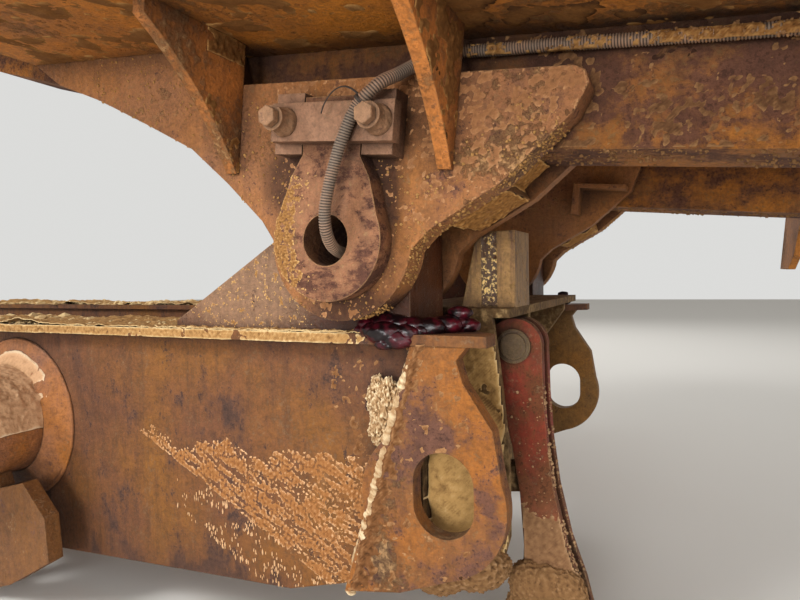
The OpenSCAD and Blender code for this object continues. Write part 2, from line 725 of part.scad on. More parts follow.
rail_left();
rail_right();
end_plate_left();
end_plate_right();
hinge_ear_left();
hinge_ear_right();
tail_deck();
tail_box();
guide_post_left();
cross_tube();
tube_collar_left();
tube_collar_right();
link_bracket_left();
link_bracket_right();
arm_lug();
arm_pin();
arm_stop();
body_floor();
main_floor();
body_side_left();
body_side_right();
body_beam_left();
body_beam_right();
front_cross_member();
tail_bolster();
outer_hinge_plate_left();
outer_hinge_plate_right();
inner_hinge_plate_left();
inner_hinge_plate_right();
closing_plate_left();
closing_plate_right();
gussets_left();
gussets_right();
tail_flap_left();
tail_flap_right();
lock_lug();
hinge_pin_left();
hinge_pin_right();
keeper_blocks_left();
keeper_blocks_right();
keeper_plate_left();
keeper_plate_right();
keeper_bolts_left();
keeper_bolts_right();
harness_hose();
lock_arm();
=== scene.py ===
"""Dump body hinge section of a hauler, dressed round its CAD frame: looks, small fastenings,
welds, mud and grease."""

import math
import random

import bmesh
import bpy
from mathutils import Matrix, Vector, noise
from mathutils.bvhtree import BVHTree


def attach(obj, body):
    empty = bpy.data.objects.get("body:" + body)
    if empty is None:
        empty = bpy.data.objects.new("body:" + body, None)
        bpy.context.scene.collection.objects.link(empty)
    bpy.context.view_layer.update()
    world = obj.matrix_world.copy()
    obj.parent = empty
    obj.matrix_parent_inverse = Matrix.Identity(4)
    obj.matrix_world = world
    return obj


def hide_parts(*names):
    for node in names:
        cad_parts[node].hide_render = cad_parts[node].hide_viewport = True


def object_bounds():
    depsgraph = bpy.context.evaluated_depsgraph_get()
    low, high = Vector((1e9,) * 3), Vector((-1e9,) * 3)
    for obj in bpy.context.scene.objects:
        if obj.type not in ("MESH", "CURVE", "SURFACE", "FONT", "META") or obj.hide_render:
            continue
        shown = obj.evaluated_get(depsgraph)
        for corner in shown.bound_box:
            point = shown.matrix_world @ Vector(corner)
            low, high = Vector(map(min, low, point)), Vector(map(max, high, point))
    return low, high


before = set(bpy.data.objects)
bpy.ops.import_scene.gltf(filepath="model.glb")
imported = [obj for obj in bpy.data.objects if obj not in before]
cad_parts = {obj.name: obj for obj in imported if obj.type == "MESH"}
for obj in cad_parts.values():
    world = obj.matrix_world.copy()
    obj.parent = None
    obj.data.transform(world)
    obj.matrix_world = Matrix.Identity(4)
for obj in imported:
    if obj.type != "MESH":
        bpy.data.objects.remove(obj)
cad_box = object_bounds()

# Camera
# It stands outboard of the left rail, a little above the rail's top and behind the hinge,
# and looks forward and in, as someone does who greases the pin.
eye = Vector((-1.3031, 1.247, 0.2876))
look = Vector((0.4327, -0.9006, -0.0392))
across = Vector((-0.9016, -0.4323, -0.0188))
upright = Vector((0, -0.0435, 0.9991))

camera_data = bpy.data.cameras.new("camera")
camera_data.sensor_width = 36
camera_data.lens = 27
camera_data.clip_start = 0.02
camera = bpy.data.objects.new("camera", camera_data)
turn = Matrix((across, upright, -look)).transposed().to_4x4()
camera.matrix_world = Matrix.Translation(eye) @ turn
bpy.context.scene.collection.objects.link(camera)
bpy.context.scene.camera = camera


# Studio
# A matt pale floor under the section and a pale surround. The key light is a large soft
# panel high in front and to the left, with three fills, so the recesses stay readable.
def linear(code):
    """An sRGB hex value as the linear colour that a shader takes."""
    parts = [int(code[i : i + 2], 16) / 255 for i in (1, 3, 5)]
    return tuple(p / 12.92 if p <= 0.04045 else ((p + 0.055) / 1.055) ** 2.4 for p in parts) + (1,)


def add(tree, kind, feeds=None, **settings):
    """Adds a node with its settings, and fills its sockets with values or links."""
    node = tree.nodes.new(kind)
    for name, value in settings.items():
        setattr(node, name, value)
    for socket, value in (feeds or {}).items():
        if isinstance(value, bpy.types.NodeSocket):
            tree.links.new(value, node.inputs[socket])
        else:
            node.inputs[socket].default_value = value
    return node


def blank_material(name):
    """A material with an empty node tree."""
    material = bpy.data.materials.new(name)
    material.use_nodes = True
    material.node_tree.nodes.clear()
    return material


bpy.context.scene.view_settings.view_transform = "Standard"
floor_gap = 0.012
floor_reach = 14
floor_height = cad_box[0].z - floor_gap
floor_paper = blank_material("matt_floor_paper")
tree = floor_paper.node_tree
shade = add(tree, "ShaderNodeBsdfPrincipled", {"Base Color": linear("#e2dfd9"), "Roughness": 0.9})
add(tree, "ShaderNodeOutputMaterial", {"Surface": shade.outputs[0]})
bm = bmesh.new()
bmesh.ops.create_grid(bm, x_segments=1, y_segments=1, size=floor_reach)
bmesh.ops.translate(bm, verts=bm.verts, vec=(0, 0, floor_height))
floor_mesh = bpy.data.meshes.new("studio_floor")
bm.to_mesh(floor_mesh)
bm.free()
floor_mesh.materials.append(floor_paper)
studio_floor = bpy.data.objects.new("studio_floor", floor_mesh)
bpy.context.scene.collection.objects.link(studio_floor)

world = bpy.data.worlds.new("studio")
bpy.context.scene.world = world
world.use_nodes = True
tree = world.node_tree
tree.nodes.clear()
rays = add(tree, "ShaderNodeLightPath")
feeds = {0: rays.outputs["Is Camera Ray"], 1: rays.outputs["Is Glossy Ray"]}
seen = add(tree, "ShaderNodeMath", feeds, operation="MAXIMUM")
ambient = add(tree, "ShaderNodeBackground", {"Color": linear("#e9e6e1"), "Strength": 0.46})
backdrop = add(tree, "ShaderNodeBackground", {"Color": linear("#e6e6e4"), "Strength": 0.9})
feeds = {0: seen.outputs[0], 1: ambient.outputs[0], 2: backdrop.outputs[0]}
mixed = add(tree, "ShaderNodeMixShader", feeds)
add(tree, "ShaderNodeOutputWorld", {"Surface": mixed.outputs[0]})

for name, place, aim, size, watts, spread in (
    ("key_panel", (3.1, 5.4, 4.7), (-0.7, 0.4, 0.1), 2.1, 408, 180),
    ("rear_panel", (-4.6, 3.7, 1.9), (-0.9, 0.3, 0.3), 3.8, 97, 180),
    ("low_panel", (-1.1, 4.6, 0.52), (-0.9, 0.3, 0.4), 1.6, 20, 70),
    ("far_panel", (0.6, -5.2, 3.4), (-0.2, -0.4, 0.1), 3.0, 95, 180),
):
    lamp = bpy.data.lights.new(name, "AREA")
    lamp.size = size
    lamp.energy = watts
    lamp.spread = math.radians(spread)
    lamp_object = bpy.data.objects.new(name, lamp)
    lamp_object.location = place
    lamp_object.rotation_euler = (Vector(aim) - Vector(place)).to_track_quat("-Z", "Y").to_euler()
    bpy.context.scene.collection.objects.link(lamp_object)


# Harness hose
# A rubber wiring harness in a spiral guard: a flat nylon strip wound round it, dull and
# dusty. It comes out of the hollow pin, bends up past the keeper and runs along the beam.
def piece_from(bm, name, material, body, smooth=True):
    """Turns a finished bmesh into a piece that rides on a body."""
    bmesh.ops.recalc_face_normals(bm, faces=bm.faces)
    for face in bm.faces:
        face.smooth = smooth
    mesh = bpy.data.meshes.new(name)
    bm.to_mesh(mesh)
    bm.free()
    mesh.materials.append(material)
    piece = bpy.data.objects.new(name, mesh)
    bpy.context.scene.collection.objects.link(piece)
    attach(piece, body)
    return piece


def spiral_nylon():
    """Moulded nylon strip: dark grey, satin, with brown dust caught between its turns."""
    material = blank_material("dusty_spiral_nylon")
    tree = material.node_tree
    place = add(tree, "ShaderNodeTexCoord").outputs["Object"]
    patch = add(tree, "ShaderNodeTexNoise", {0: place, "Scale": 1 / 0.06, "Detail": 6, "Roughness": 0.6})
    grain = add(tree, "ShaderNodeTexNoise", {0: place, "Scale": 1 / 0.0025, "Detail": 3, "Roughness": 0.7})
    feeds = {0: patch.outputs[0], 1: 0.40, 2: 0.60}
    dust = add(tree, "ShaderNodeMapRange", feeds, interpolation_type="SMOOTHSTEP").outputs[0]
    feeds = {0: grain.outputs[0], 6: linear("#5a4c40"), 7: linear("#8c7a68")}
    nylon = add(tree, "ShaderNodeMix", feeds, data_type="RGBA").outputs[2]
    feeds = {0: dust, 6: nylon, 7: linear("#92725a")}
    coated = add(tree, "ShaderNodeMix", feeds, data_type="RGBA").outputs[2]
    rib = add(tree, "ShaderNodeAttribute", attribute_name="rib").outputs["Fac"]
    gap = add(tree, "ShaderNodeMapRange", {0: rib, 1: 0.15, 2: 0.7}).outputs[0]
    feeds = {0: gap, 6: linear("#33261d"), 7: coated}
    shown = add(tree, "ShaderNodeMix", feeds, data_type="RGBA").outputs[2]
    bump = add(tree, "ShaderNodeBump", {"Strength": 0.6, "Distance": 0.0008, "Height": grain.outputs[0]})
    feeds = {"Base Color": shown, "Roughness": 0.68, "Normal": bump.outputs[0]}
    shade = add(tree, "ShaderNodeBsdfPrincipled", feeds)
    add(tree, "ShaderNodeOutputMaterial", {"Surface": shade.outputs[0]})
    return material


def rounded_route(points, step):
    """Points every step metres along a smooth curve through the given ones."""
    ends = [points[0] * 2 - points[1]] + points + [points[-1] * 2 - points[-2]]
    fine = []
    for a, b, c, d in zip(ends, ends[1:], ends[2:], ends[3:]):
        for i in range(24):
            t = i / 24
            bend, twist = 2 * a - 5 * b + 4 * c - d, 3 * b - 3 * c + d - a
            fine.append(0.5 * (2 * b + (c - a) * t + bend * t * t + twist * t**3))
    fine.append(points[-1])
    route, left = [fine[0]], step
    for a, b in zip(fine, fine[1:]):
        span = (b - a).length
        while span >= left:
            a = a + (b - a) * (left / span)
            route.append(a)
            span -= left
            left = step
        left -= span
    return route


def swept(bm, route, radii, sides, flat=1.0):
    """A closed bar swept along a route: a ring is extruded and turned from point to point."""
    ring = bmesh.ops.create_circle(bm, segments=sides, radius=1)["verts"]
    edges = list({e for v in ring for e in v.link_edges})
    bmesh.ops.contextual_create(bm, geom=edges)
    side = Vector((0.2, 0.3, 1))
    before = Matrix.Identity(4)
    for i, point in enumerate(route):
        way = (route[min(i + 1, len(route) - 1)] - route[max(i - 1, 0)]).normalized()
        side = (side - way * side.dot(way)).normalized()
        turned = Matrix((side, way.cross(side), way)).transposed().to_4x4()
        here = Matrix.Translation(point) @ turned @ Matrix.Diagonal((radii[i], radii[i] * flat, 1, 1))
        if i:
            made = bmesh.ops.extrude_edge_only(bm, edges=edges)["geom"]
            ring = [g for g in made if isinstance(g, bmesh.types.BMVert)]
            edges = [g for g in made if isinstance(g, bmesh.types.BMEdge)]
        bmesh.ops.transform(bm, matrix=here @ before.inverted(), verts=ring)
        before = here
    bmesh.ops.contextual_create(bm, geom=edges)


hose_points = [
    Vector((x - 850, y, z + 340)) / 1000
    for x, y, z in (
        (0, 250, -14), (-2, 330, -16), (-4, 410, -20), (-6, 480, -20), (-9, 530, -12),
        (-13, 556, 8), (-18, 567, 36), (-26, 569.3, 66), (-36, 569.3, 96), (-47, 569.3, 124),
        (-58, 569.3, 146), (-71, 569.3, 166), (-88, 570, 180), (-104, 562, 194),
        (-118, 540, 208), (-134, 510, 228), (-154, 488, 240), (-182, 472, 247),
        (-230, 466, 243), (-290, 465, 238), (-350, 465, 231), (-420, 465, 223),
        (-490, 465, 215), (-560, 465, 208), (-630, 465, 200), (-660, 465, 197),
        (-706, 465, 192),
    )
]
hose_radius = 0.0088
turn_pitch = 0.0036
rings_a_turn = 4
guard_sides = 14
groove_depth = 0.0018
hose_route = rounded_route(hose_points, turn_pitch / rings_a_turn)
bm = bmesh.new()
swept(bm, hose_route, [hose_radius] * len(hose_route), guard_sides)
bm.verts.ensure_lookup_table()
rib_height = bm.verts.layers.float.new("rib")
for i, point in enumerate(hose_route):
    for k in range(guard_sides):
        v = bm.verts[i * guard_sides + k]
        wave = 0.5 + 0.5 * math.cos(math.tau * (i / rings_a_turn - k / guard_sides))
        v.co += (point - v.co).normalized() * groove_depth * (1 - wave)
        v[rib_height] = wave
tie_tail = [
    Vector((x, y, z))
    for x, y, z in (
        (-0.936, 0.560, 0.502), (-0.930, 0.574, 0.516), (-0.918, 0.578, 0.527), (-0.904, 0.578, 0.531),
        (-0.889, 0.577, 0.526), (-0.877, 0.576, 0.514), (-0.870, 0.575, 0.500),
    )
]
tie_loop_radius = 0.0104
tie_strip_radius = 0.0019
tie_rings = 5
tied = min(range(len(hose_route)), key=lambda i: (hose_route[i] - tie_tail[0]).length)
swept(bm, hose_route[tied : tied + tie_rings], [tie_loop_radius] * tie_rings, 16)
tie_route = rounded_route(tie_tail, 0.003)
swept(bm, tie_route, [tie_strip_radius] * len(tie_route), 8, 0.5)
harness = piece_from(bm, "spiral_harness", spiral_nylon(), "dump_body")
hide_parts("harness_hose")


# Frame plates
# Rolled steel plate, welded and painted yellow, then worn for years: the paint is chalked
# and rubbed, rust comes through in soft plum patches, and dried mud lies on what faces up.
def weathered_steel(
    name,
    paint="#9a6530",
    faded="#8c5a38",
    rust="#6d4d44",
    deep_rust="#4d332c",
    film="#835a45",
    mud="#8a6440",
    pale_mud="#b38b62",
    patch=0.045,
    rust_cut=0.60,
    rust_full=0.85,
    film_cut=0.42,
    film_full=0.75,
    mud_cut=0.62,
    smear=0.6,
    mud_depth=0.003,
    gloss=0.66,
    rubbing=0.5,
    runs=0.25,
    crevice_shade_and_dirt=0.85,
    grit_depth=0.005,
    spots=(),
):
    """Worn paint over rust over steel plate, with a dust film and mud. A spot is a layer, a
    centre, a reach along each axis and a strength, and thickens that layer round its centre."""
    material = blank_material(name)
    tree = material.node_tree
    coordinates = add(tree, "ShaderNodeTexCoord")
    place = coordinates.outputs["Object"]
    hung = add(tree, "ShaderNodeMapping", {0: place, 3: (1, 1, smear)}).outputs[0]
    run_down = add(tree, "ShaderNodeMapping", {0: place, 3: (1, 1, 0.12)}).outputs[0]
    # Patterns by the size of their patches in metres. The grit is really 1 to 2 mm and is
    # drawn at 6 mm, so that it shows.
    clouds = {}
    for layer, vector, size, detail, roughness in (
        ("wide", place, 0.22, 5, 0.6),
        ("ragged", hung, patch, 11, 0.76),
        ("grit", place, 0.0060, 4, 0.68),
        ("lumps", place, 0.016, 9, 0.72),
        ("streaks", run_down, 0.016, 7, 0.7),
    ):
        feeds = {0: vector, "Scale": 1 / size, "Detail": detail, "Roughness": roughness}
        clouds[layer] = add(tree, "ShaderNodeTexNoise", feeds).outputs[0]

    sums = {}
    for layer, shares in (
        ("rust", (("wide", 0.30), ("ragged", 0.62), ("grit", 0.16))),
        ("mud", (("lumps", 0.55), ("wide", 0.50))),
        ("film", (("ragged", 0.35), ("wide", 0.70))),
        ("speck", (("grit", 0.55), ("ragged", 0.65))),
        ("grain", (("grit", 0.40), ("lumps", 0.40), ("ragged", 0.20))),
        ("grease", (("lumps", 0.40),)),
        ("stain_and_painted_shade", (("lumps", 0.30), ("streaks", 0.12))),
    ):
        total = 0.0
        for cloud, share in shares:
            feeds = {0: clouds[cloud], 1: share, 2: total}
            total = add(tree, "ShaderNodeMath", feeds, operation="MULTIPLY_ADD").outputs[0]
        sums[layer] = total
    facing = add(tree, "ShaderNodeSeparateXYZ", {0: coordinates.outputs["Normal"]}).outputs[2]
    lying = add(tree, "ShaderNodeMapRange", {0: facing, 1: 0.3, 2: 0.95, 3: 0.0, 4: 0.16}).outputs[0]
    sums["mud"] = add(tree, "ShaderNodeMath", {0: sums["mud"], 1: lying}, operation="ADD").outputs[0]
    for layer, centre, reach, strength in spots:
        offset = add(tree, "ShaderNodeVectorMath", {0: place, 1: centre}, operation="SUBTRACT")
        shrunk = add(tree, "ShaderNodeVectorMath", {0: offset.outputs[0], 1: reach}, operation="DIVIDE")
        far = add(tree, "ShaderNodeVectorMath", {0: shrunk.outputs[0]}, operation="LENGTH").outputs["Value"]
        feeds = {0: far, 1: 1.0, 2: 0.0, 3: 0.0, 4: strength}
        near = add(tree, "ShaderNodeMapRange", feeds, interpolation_type="SMOOTHSTEP").outputs[0]
        feeds = {0: sums[layer], 1: near}
        sums[layer] = add(tree, "ShaderNodeMath", feeds, operation="ADD").outputs[0]

    bevel = add(tree, "ShaderNodeBevel", {"Radius": 0.003}, samples=4).outputs[0]
    flat = add(tree, "ShaderNodeNewGeometry").outputs["Normal"]
    bend = add(tree, "ShaderNodeVectorMath", {0: bevel, 1: flat}, operation="DOT_PRODUCT").outputs["Value"]
    amounts = {}
    for layer, source, low, high, top in (
        ("faded", clouds["wide"], 0.38, 0.62, 1.0),
        ("rust", sums["rust"], rust_cut, rust_cut + 0.06, rust_full),
        ("pitted", clouds["grit"], 0.50, 0.66, 1.0),
        ("film", sums["film"], film_cut, film_cut + 0.30, film_full),
        ("run", clouds["streaks"], 0.48, 0.66, runs),
        ("speck", sums["speck"], 0.66, 0.73, 0.75),
        ("scuff", sums["speck"], 0.535, 0.46, 0.55),
        ("stain_and_painted_shade", sums["stain_and_painted_shade"], 0.30, 0.75, 0.8),
        ("mud", sums["mud"], mud_cut, mud_cut + 0.09, 0.9),
        ("clods", clouds["lumps"], 0.40, 0.60, 1.0),
        ("edge", bend, 0.985, 0.86, 1.0),
        ("broken", clouds["ragged"], 0.35, 0.62, rubbing),
        ("grease", sums["grease"], 0.42, 0.50, 1.0),
    ):
        amounts[layer] = add(tree, "ShaderNodeMapRange", {0: source, 1: low, 2: high, 4: top}).outputs[0]
    # The grain that makes the bump also scales the colour: painted shade on its low points and painted
    # highlight on its high points.
    feeds = {0: sums["grain"], 1: 0.39, 2: 0.61, 3: 0.56, 4: 1.38}
    grain_shade_and_highlight = add(tree, "ShaderNodeMapRange", feeds).outputs[0]
    feeds = {0: amounts["edge"], 1: amounts["broken"]}
    amounts["rubbed"] = add(tree, "ShaderNodeMath", feeds, operation="MULTIPLY").outputs[0]

    mixes = {}
    for result, amount, below, above in (
        ("oxide", "pitted", rust, deep_rust),
        ("earth", "clods", mud, pale_mud),
    ):
        feeds = {0: amounts[amount], 6: linear(below), 7: linear(above)}
        mixes[result] = add(tree, "ShaderNodeMix", feeds, data_type="RGBA").outputs[2]
    surface = linear(paint)
    for layer, over in (
        ("faded", linear(faded)),
        ("film", linear(film)),
        ("rust", mixes["oxide"]),
        ("run", linear(deep_rust)),
        ("speck", linear(deep_rust)),
        ("scuff", linear(pale_mud)),
        # This dark colour serves both for stains and for painted shade put where shadow falls.
        ("stain_and_painted_shade", linear("#3d2317")),
        ("mud", mixes["earth"]),
        ("rubbed", linear(pale_mud)),
        ("grease", linear("#180c0a")),
    ):
        feeds = {0: amounts[layer], 6: surface, 7: over}
        surface = add(tree, "ShaderNodeMix", feeds, data_type="RGBA").outputs[2]

    # Corners and creases are darkened where ambient occlusion finds them shut in. This is painted shade
    # standing for contact shadow, and with it the dark wet dirt that stays where rain and rubbing don't
    # reach.
    open_sky = add(tree, "ShaderNodeAmbientOcclusion", {"Distance": 0.07}, samples=6).outputs["AO"]
    feeds = {0: open_sky, 1: 0.84, 2: 0.36, 3: 0.0, 4: crevice_shade_and_dirt}
    shut_in_shade = add(tree, "ShaderNodeMapRange", feeds).outputs[0]
    feeds = {0: shut_in_shade, 6: surface, 7: linear("#2c170c")}
    surface = add(tree, "ShaderNodeMix", feeds, data_type="RGBA").outputs[2]
    feeds = {0: surface, "Scale": grain_shade_and_highlight}
    surface = add(tree, "ShaderNodeVectorMath", feeds, operation="SCALE").outputs[0]

    feeds = {"Strength": 1.0, "Distance": grit_depth, "Height": sums["grain"], "Normal": bevel}
    pores = add(tree, "ShaderNodeBump", feeds).outputs[0]
    feeds = {0: clouds["lumps"], 1: amounts["mud"]}
    heap = add(tree, "ShaderNodeMath", feeds, operation="MULTIPLY").outputs[0]
    feeds = {"Strength": 1.0, "Distance": mud_depth, "Height": heap, "Normal": pores}
    relief = add(tree, "ShaderNodeBump", feeds).outputs[0]
    feeds = {0: amounts["rust"], 1: amounts["mud"]}
    cover = add(tree, "ShaderNodeMath", feeds, operation="MAXIMUM").outputs[0]
    dull = add(tree, "ShaderNodeMapRange", {0: cover, 3: gloss, 4: 0.92}).outputs[0]
    slick = add(tree, "ShaderNodeMix", {0: amounts["grease"], 2: dull, 3: 0.25}).outputs[0]
    feeds = {"Base Color": surface, "Roughness": slick, "Specular IOR Level": 0.3, "Normal": relief}
    shade = add(tree, "ShaderNodeBsdfPrincipled", feeds)
    add(tree, "ShaderNodeOutputMaterial", {"Surface": shade.outputs[0]})
    return material


def coat_nodes(material, *names):
    """Gives CAD nodes their finish through their material slots."""
    for name in names:
        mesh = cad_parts[name].data
        mesh.materials.clear()
        mesh.materials.append(material)


rail_paint = weathered_steel(
    "chalked_yellow_rail_paint",
    paint="#7b4e1c",
    faded="#6f4426",
    rust="#4b372f",
    deep_rust="#33241f",
    film="#613d28",
    pale_mud="#94704e",
    patch=0.05,
    rust_cut=0.568,
    rust_full=0.8,
    film_cut=0.44,
    mud_cut=0.75,
    smear=0.55,
    runs=0.35,
    spots=(
        ("film", (-0.05, 0.44, 0.0), (0.45, 0.2, 0.5), 0.28),
        # This spot makes the web darker towards its bottom.
        ("stain_and_painted_shade", (-0.35, 0.44, -0.34), (0.9, 0.2, 0.32), 0.31),
        ("rust", (-0.55, 0.44, -0.28), (0.5, 0.2, 0.16), 0.05),
        ("grease", (-0.92, 0.46, 0.20), (0.08, 0.06, 0.03), 0.35),
    ),
)
coat_nodes(rail_paint, "rail_left", "rail_right")

end_plate_paint = weathered_steel(
    "flaking_yellow_plate_paint",
    paint="#985c22",
    faded="#84542a",
    rust="#64443a",
    deep_rust="#3e2820",
    film="#7a5233",
    patch=0.06,
    rust_cut=0.548,
    film_cut=0.47,
    mud_cut=0.64,
    smear=1.2,
    grit_depth=0.008,
    mud="#76573a",
    pale_mud="#a27e55",
    spots=(
        ("rust", (-0.985, 0.46, 0.06), (0.10, 0.1, 0.07), 0.08),
        ("rust", (-1.06, 0.46, -0.02), (0.05, 0.1, 0.05), 0.08),
        ("mud", (-0.89, 0.46, -0.12), (0.07, 0.1, 0.20), 0.16),
    ),
)
coat_nodes(end_plate_paint, "end_plate_left")
far_plate_paint = weathered_steel(
    "olive_stained_plate_paint",
    paint="#8a5c24",
    faded="#7d592c",
    rust="#6e4d2c",
    deep_rust="#4c3520",
    film="#7c5c34",
    mud="#75583a",
    pale_mud="#9a7a50",
    mud_cut=0.62,
)
coat_nodes(far_plate_paint, "end_plate_right")

wall_mud = weathered_steel(
    "mud_caked_wall_plate",
    paint="#85602f",
    faded="#775634",
    film="#7c5e3c",
    mud="#7c5f3b",
    pale_mud="#a3855a",
    mud_cut=0.47,
    mud_depth=0.004,
)
coat_nodes(wall_mud, "tail_box", "tail_deck", "arm_lug", "arm_stop")

tube_paint = weathered_steel(
    "dusty_yellow_tube_paint",
    paint="#a3652a",
    faded="#8f5c3a",
    film="#88604a",
    rust_cut=0.64,
    mud_cut=0.66,
    patch=0.07,
)
coat_nodes(tube_paint, "cross_tube", "tube_collar_left", "tube_collar_right")

bracket_dust = weathered_steel(
    "dusty_bracket_plate",
    paint="#7c5022",
    faded="#6e4624",
    film="#704a28",
    film_cut=0.34,
    rust_cut=0.62,
    mud_cut=0.66,
)
coat_nodes(bracket_dust, "link_bracket_left", "link_bracket_right")

# Mud on the frame
# Dried spoil that has stuck to the steel, made as real relief: skins that lie on the plates
# and loose crumbs. Their hollows carry painted shade and their crests painted highlight.
def dried_earth(name, hollow_shade, middle, crest_highlight, grain=0.004):
    """Dry crumbly earth with painted shade in its hollows and painted highlight on its crests, as raking
    sunlight shows them.
    """
    material = blank_material(name)
    tree = material.node_tree
    place = add(tree, "ShaderNodeTexCoord").outputs["Object"]
    fine = add(tree, "ShaderNodeTexNoise", {0: place, "Scale": 1 / grain, "Detail": 6, "Roughness": 0.75})
    broad = add(tree, "ShaderNodeTexNoise", {0: place, "Scale": 1 / 0.05, "Detail": 4, "Roughness": 0.6})
    ridge = add(tree, "ShaderNodeNewGeometry").outputs["Pointiness"]
    mixed = add(tree, "ShaderNodeMath", {0: fine.outputs[0], 1: 0.10, 2: ridge}, operation="MULTIPLY_ADD")
    # Painted shade where the earth curves in, painted highlight where it curves out.
    low = add(tree, "ShaderNodeMapRange", {0: mixed.outputs[0], 1: 0.50, 2: 0.56}).outputs[0]
    high = add(tree, "ShaderNodeMapRange", {0: mixed.outputs[0], 1: 0.55, 2: 0.64}).outputs[0]
    crest_light = add(tree, "ShaderNodeMath", {0: high, 1: broad.outputs[0]}, operation="MULTIPLY").outputs[0]
    lit = add(tree, "ShaderNodeMapRange", {0: crest_light, 1: 0.1, 2: 0.6}).outputs[0]
    body = add(tree, "ShaderNodeMix", {0: low, 6: linear(hollow_shade), 7: linear(middle)}, data_type="RGBA")
    tone = add(tree, "ShaderNodeMix", {0: lit, 6: body.outputs[2], 7: linear(crest_highlight)}, data_type="RGBA")
    bump = add(tree, "ShaderNodeBump", {"Strength": 0.8, "Distance": 0.002, "Height": fine.outputs[0]})
    feeds = {
        "Base Color": tone.outputs[2],
        "Roughness": 0.95,
        "Specular IOR Level": 0.15,
        "Normal": bump.outputs[0],
    }
    shade = add(tree, "ShaderNodeBsdfPrincipled", feeds)
    add(tree, "ShaderNodeOutputMaterial", {"Surface": shade.outputs[0]})
    return material


def steel_of(*names):
    """The faces of some CAD nodes, for rays to find."""
    points, corners = [], []
    for name in names:
        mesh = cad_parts[name].data
        first = len(points)
        points += [v.co.copy() for v in mesh.vertices]
        corners += [[first + i for i in face.vertices] for face in mesh.polygons]
    return BVHTree.FromPolygons(points, corners)


def lump(point, size):
    """Rounded lumps of about one size: 1 at their tops and 0 between them."""
    return max(0.0, 1 - 1.5 * noise.voronoi(point / size)[0][0])


def rough(point, size, octaves=4):
    """Cloudy noise, about -1 to 1."""
    return noise.fractal(point / size, 0.9, 2.0, octaves)


# Rays start half of this away from the steel, and run all of it.
ray_length = 0.8


def crust(name, steel, centre, out, up, width, height, step, depth, material, body):
    """A skin of mud. The points of a net go along rays, against out, until they meet the
    steel, and each stands out by depth(point), so it dives under where that is negative."""
    root_depth, skin_thickness = 0.0012, 0.001
    out, up = out.normalized(), up.normalized()
    bm = bmesh.new()
    bmesh.ops.create_grid(bm, x_segments=round(width / step), y_segments=round(height / step), size=0.5)
    stands, missed = {}, []
    for v in bm.verts:
        start = centre + up.cross(out) * (v.co.x * width) + up * (v.co.y * height) + out * ray_length / 2
        hit = steel.ray_cast(start, -out, ray_length)[0]
        if hit is None:
            missed.append(v)
        else:
            stands[v] = depth(hit)
            v.co = hit + out * max(stands[v], -root_depth)
    bmesh.ops.delete(bm, geom=missed, context="VERTS")
    bare = [
        face
        for face in bm.faces
        if max(stands[v] for v in face.verts) <= 0 or max(e.calc_length() for e in face.edges) > 4 * step
    ]
    bmesh.ops.delete(bm, geom=bare, context="FACES")
    bmesh.ops.solidify(bm, geom=bm.faces[:], thickness=skin_thickness)
    return piece_from(bm, name, material, body)


def crumbs(bm, steel, centre, out, up, width, height, count, small, large, chance, dice, drawn=1.0):
    """Adds crumbs where rays, against out, meet the steel and chance(point) allows."""
    out, up = out.normalized(), up.normalized()
    seed = bmesh.new()
    bmesh.ops.create_icosphere(seed, subdivisions=1, radius=1)
    crumb = bpy.data.meshes.new("crumb")
    seed.to_mesh(crumb)
    seed.free()
    shape = [v.co.copy() for v in crumb.vertices]
    for _ in range(count):
        wide, high = (dice.random() - 0.5) * width, (dice.random() - 0.5) * height
        start = centre + up.cross(out) * wide + up * high + out * ray_length / 2
        hit = steel.ray_cast(start, -out, ray_length)[0]
        if hit is None or dice.random() > chance(hit):
            continue
        size = small + (large - small) * dice.random() ** 3
        roll = Matrix.Rotation(dice.random() * math.tau, 3, out)
        middle = hit + out * size * 0.3
        flat = []
        for point in shape:
            knob = roll @ (point * size * (0.7 + 0.6 * dice.random()))
            flat.extend(middle + Vector((knob.x, knob.y, knob.z * drawn)))
        crumb.vertices.foreach_set("co", flat)
        bm.from_mesh(crumb)
    bpy.data.meshes.remove(crumb)


def crumb_piece(bm, name, material, body):
    """Crumbs are broken earth, so their faces stay flat."""
    return piece_from(bm, name, material, body, smooth=False)


forward = Vector((1, 0, 0))
outboard = Vector((0, 1, 0))
skyward = Vector((0, 0, 1))
flange_height = 0.204
# The flange-top earth is made pale as it looks in sunlight: painted light over real mud.
sunlit_yellow_earth = dried_earth("sunlit_pale_yellow_earth", "#6e4c2a", "#ab8250", "#e0c491")
# The web's sprayed earth is pale, a painted patch of sunlight.
sun_patch_earth = dried_earth("sprayed_earth_in_painted_sunlight", "#734522", "#9a683c", "#dcb286")
plate_earth = dried_earth("brown_plate_earth", "#442c17", "#70492a", "#a47a52")


def flange_mud(p):
    worn = 0.005 * max(0.0, min(1.0, (-0.80 - p.x) / 0.10))
    heap = 0.014 * max(0.0, rough(p, 0.13, 5) + 0.1) * max(0.0, min(1.0, (p.x + 0.35) / 0.3))
    return 0.0014 + 0.0034 * rough(p, 0.022, 7) + 0.0014 * lump(p, 0.006) + heap - worn


def over_wedge(p):
    """How far a point is above the lower edge of the sprayed wedge, which falls to the rear. The wedge is
    drawn where sunlight fell on the web.
    """
    return p.z - 0.011 - 0.504 * (p.x + 0.332)


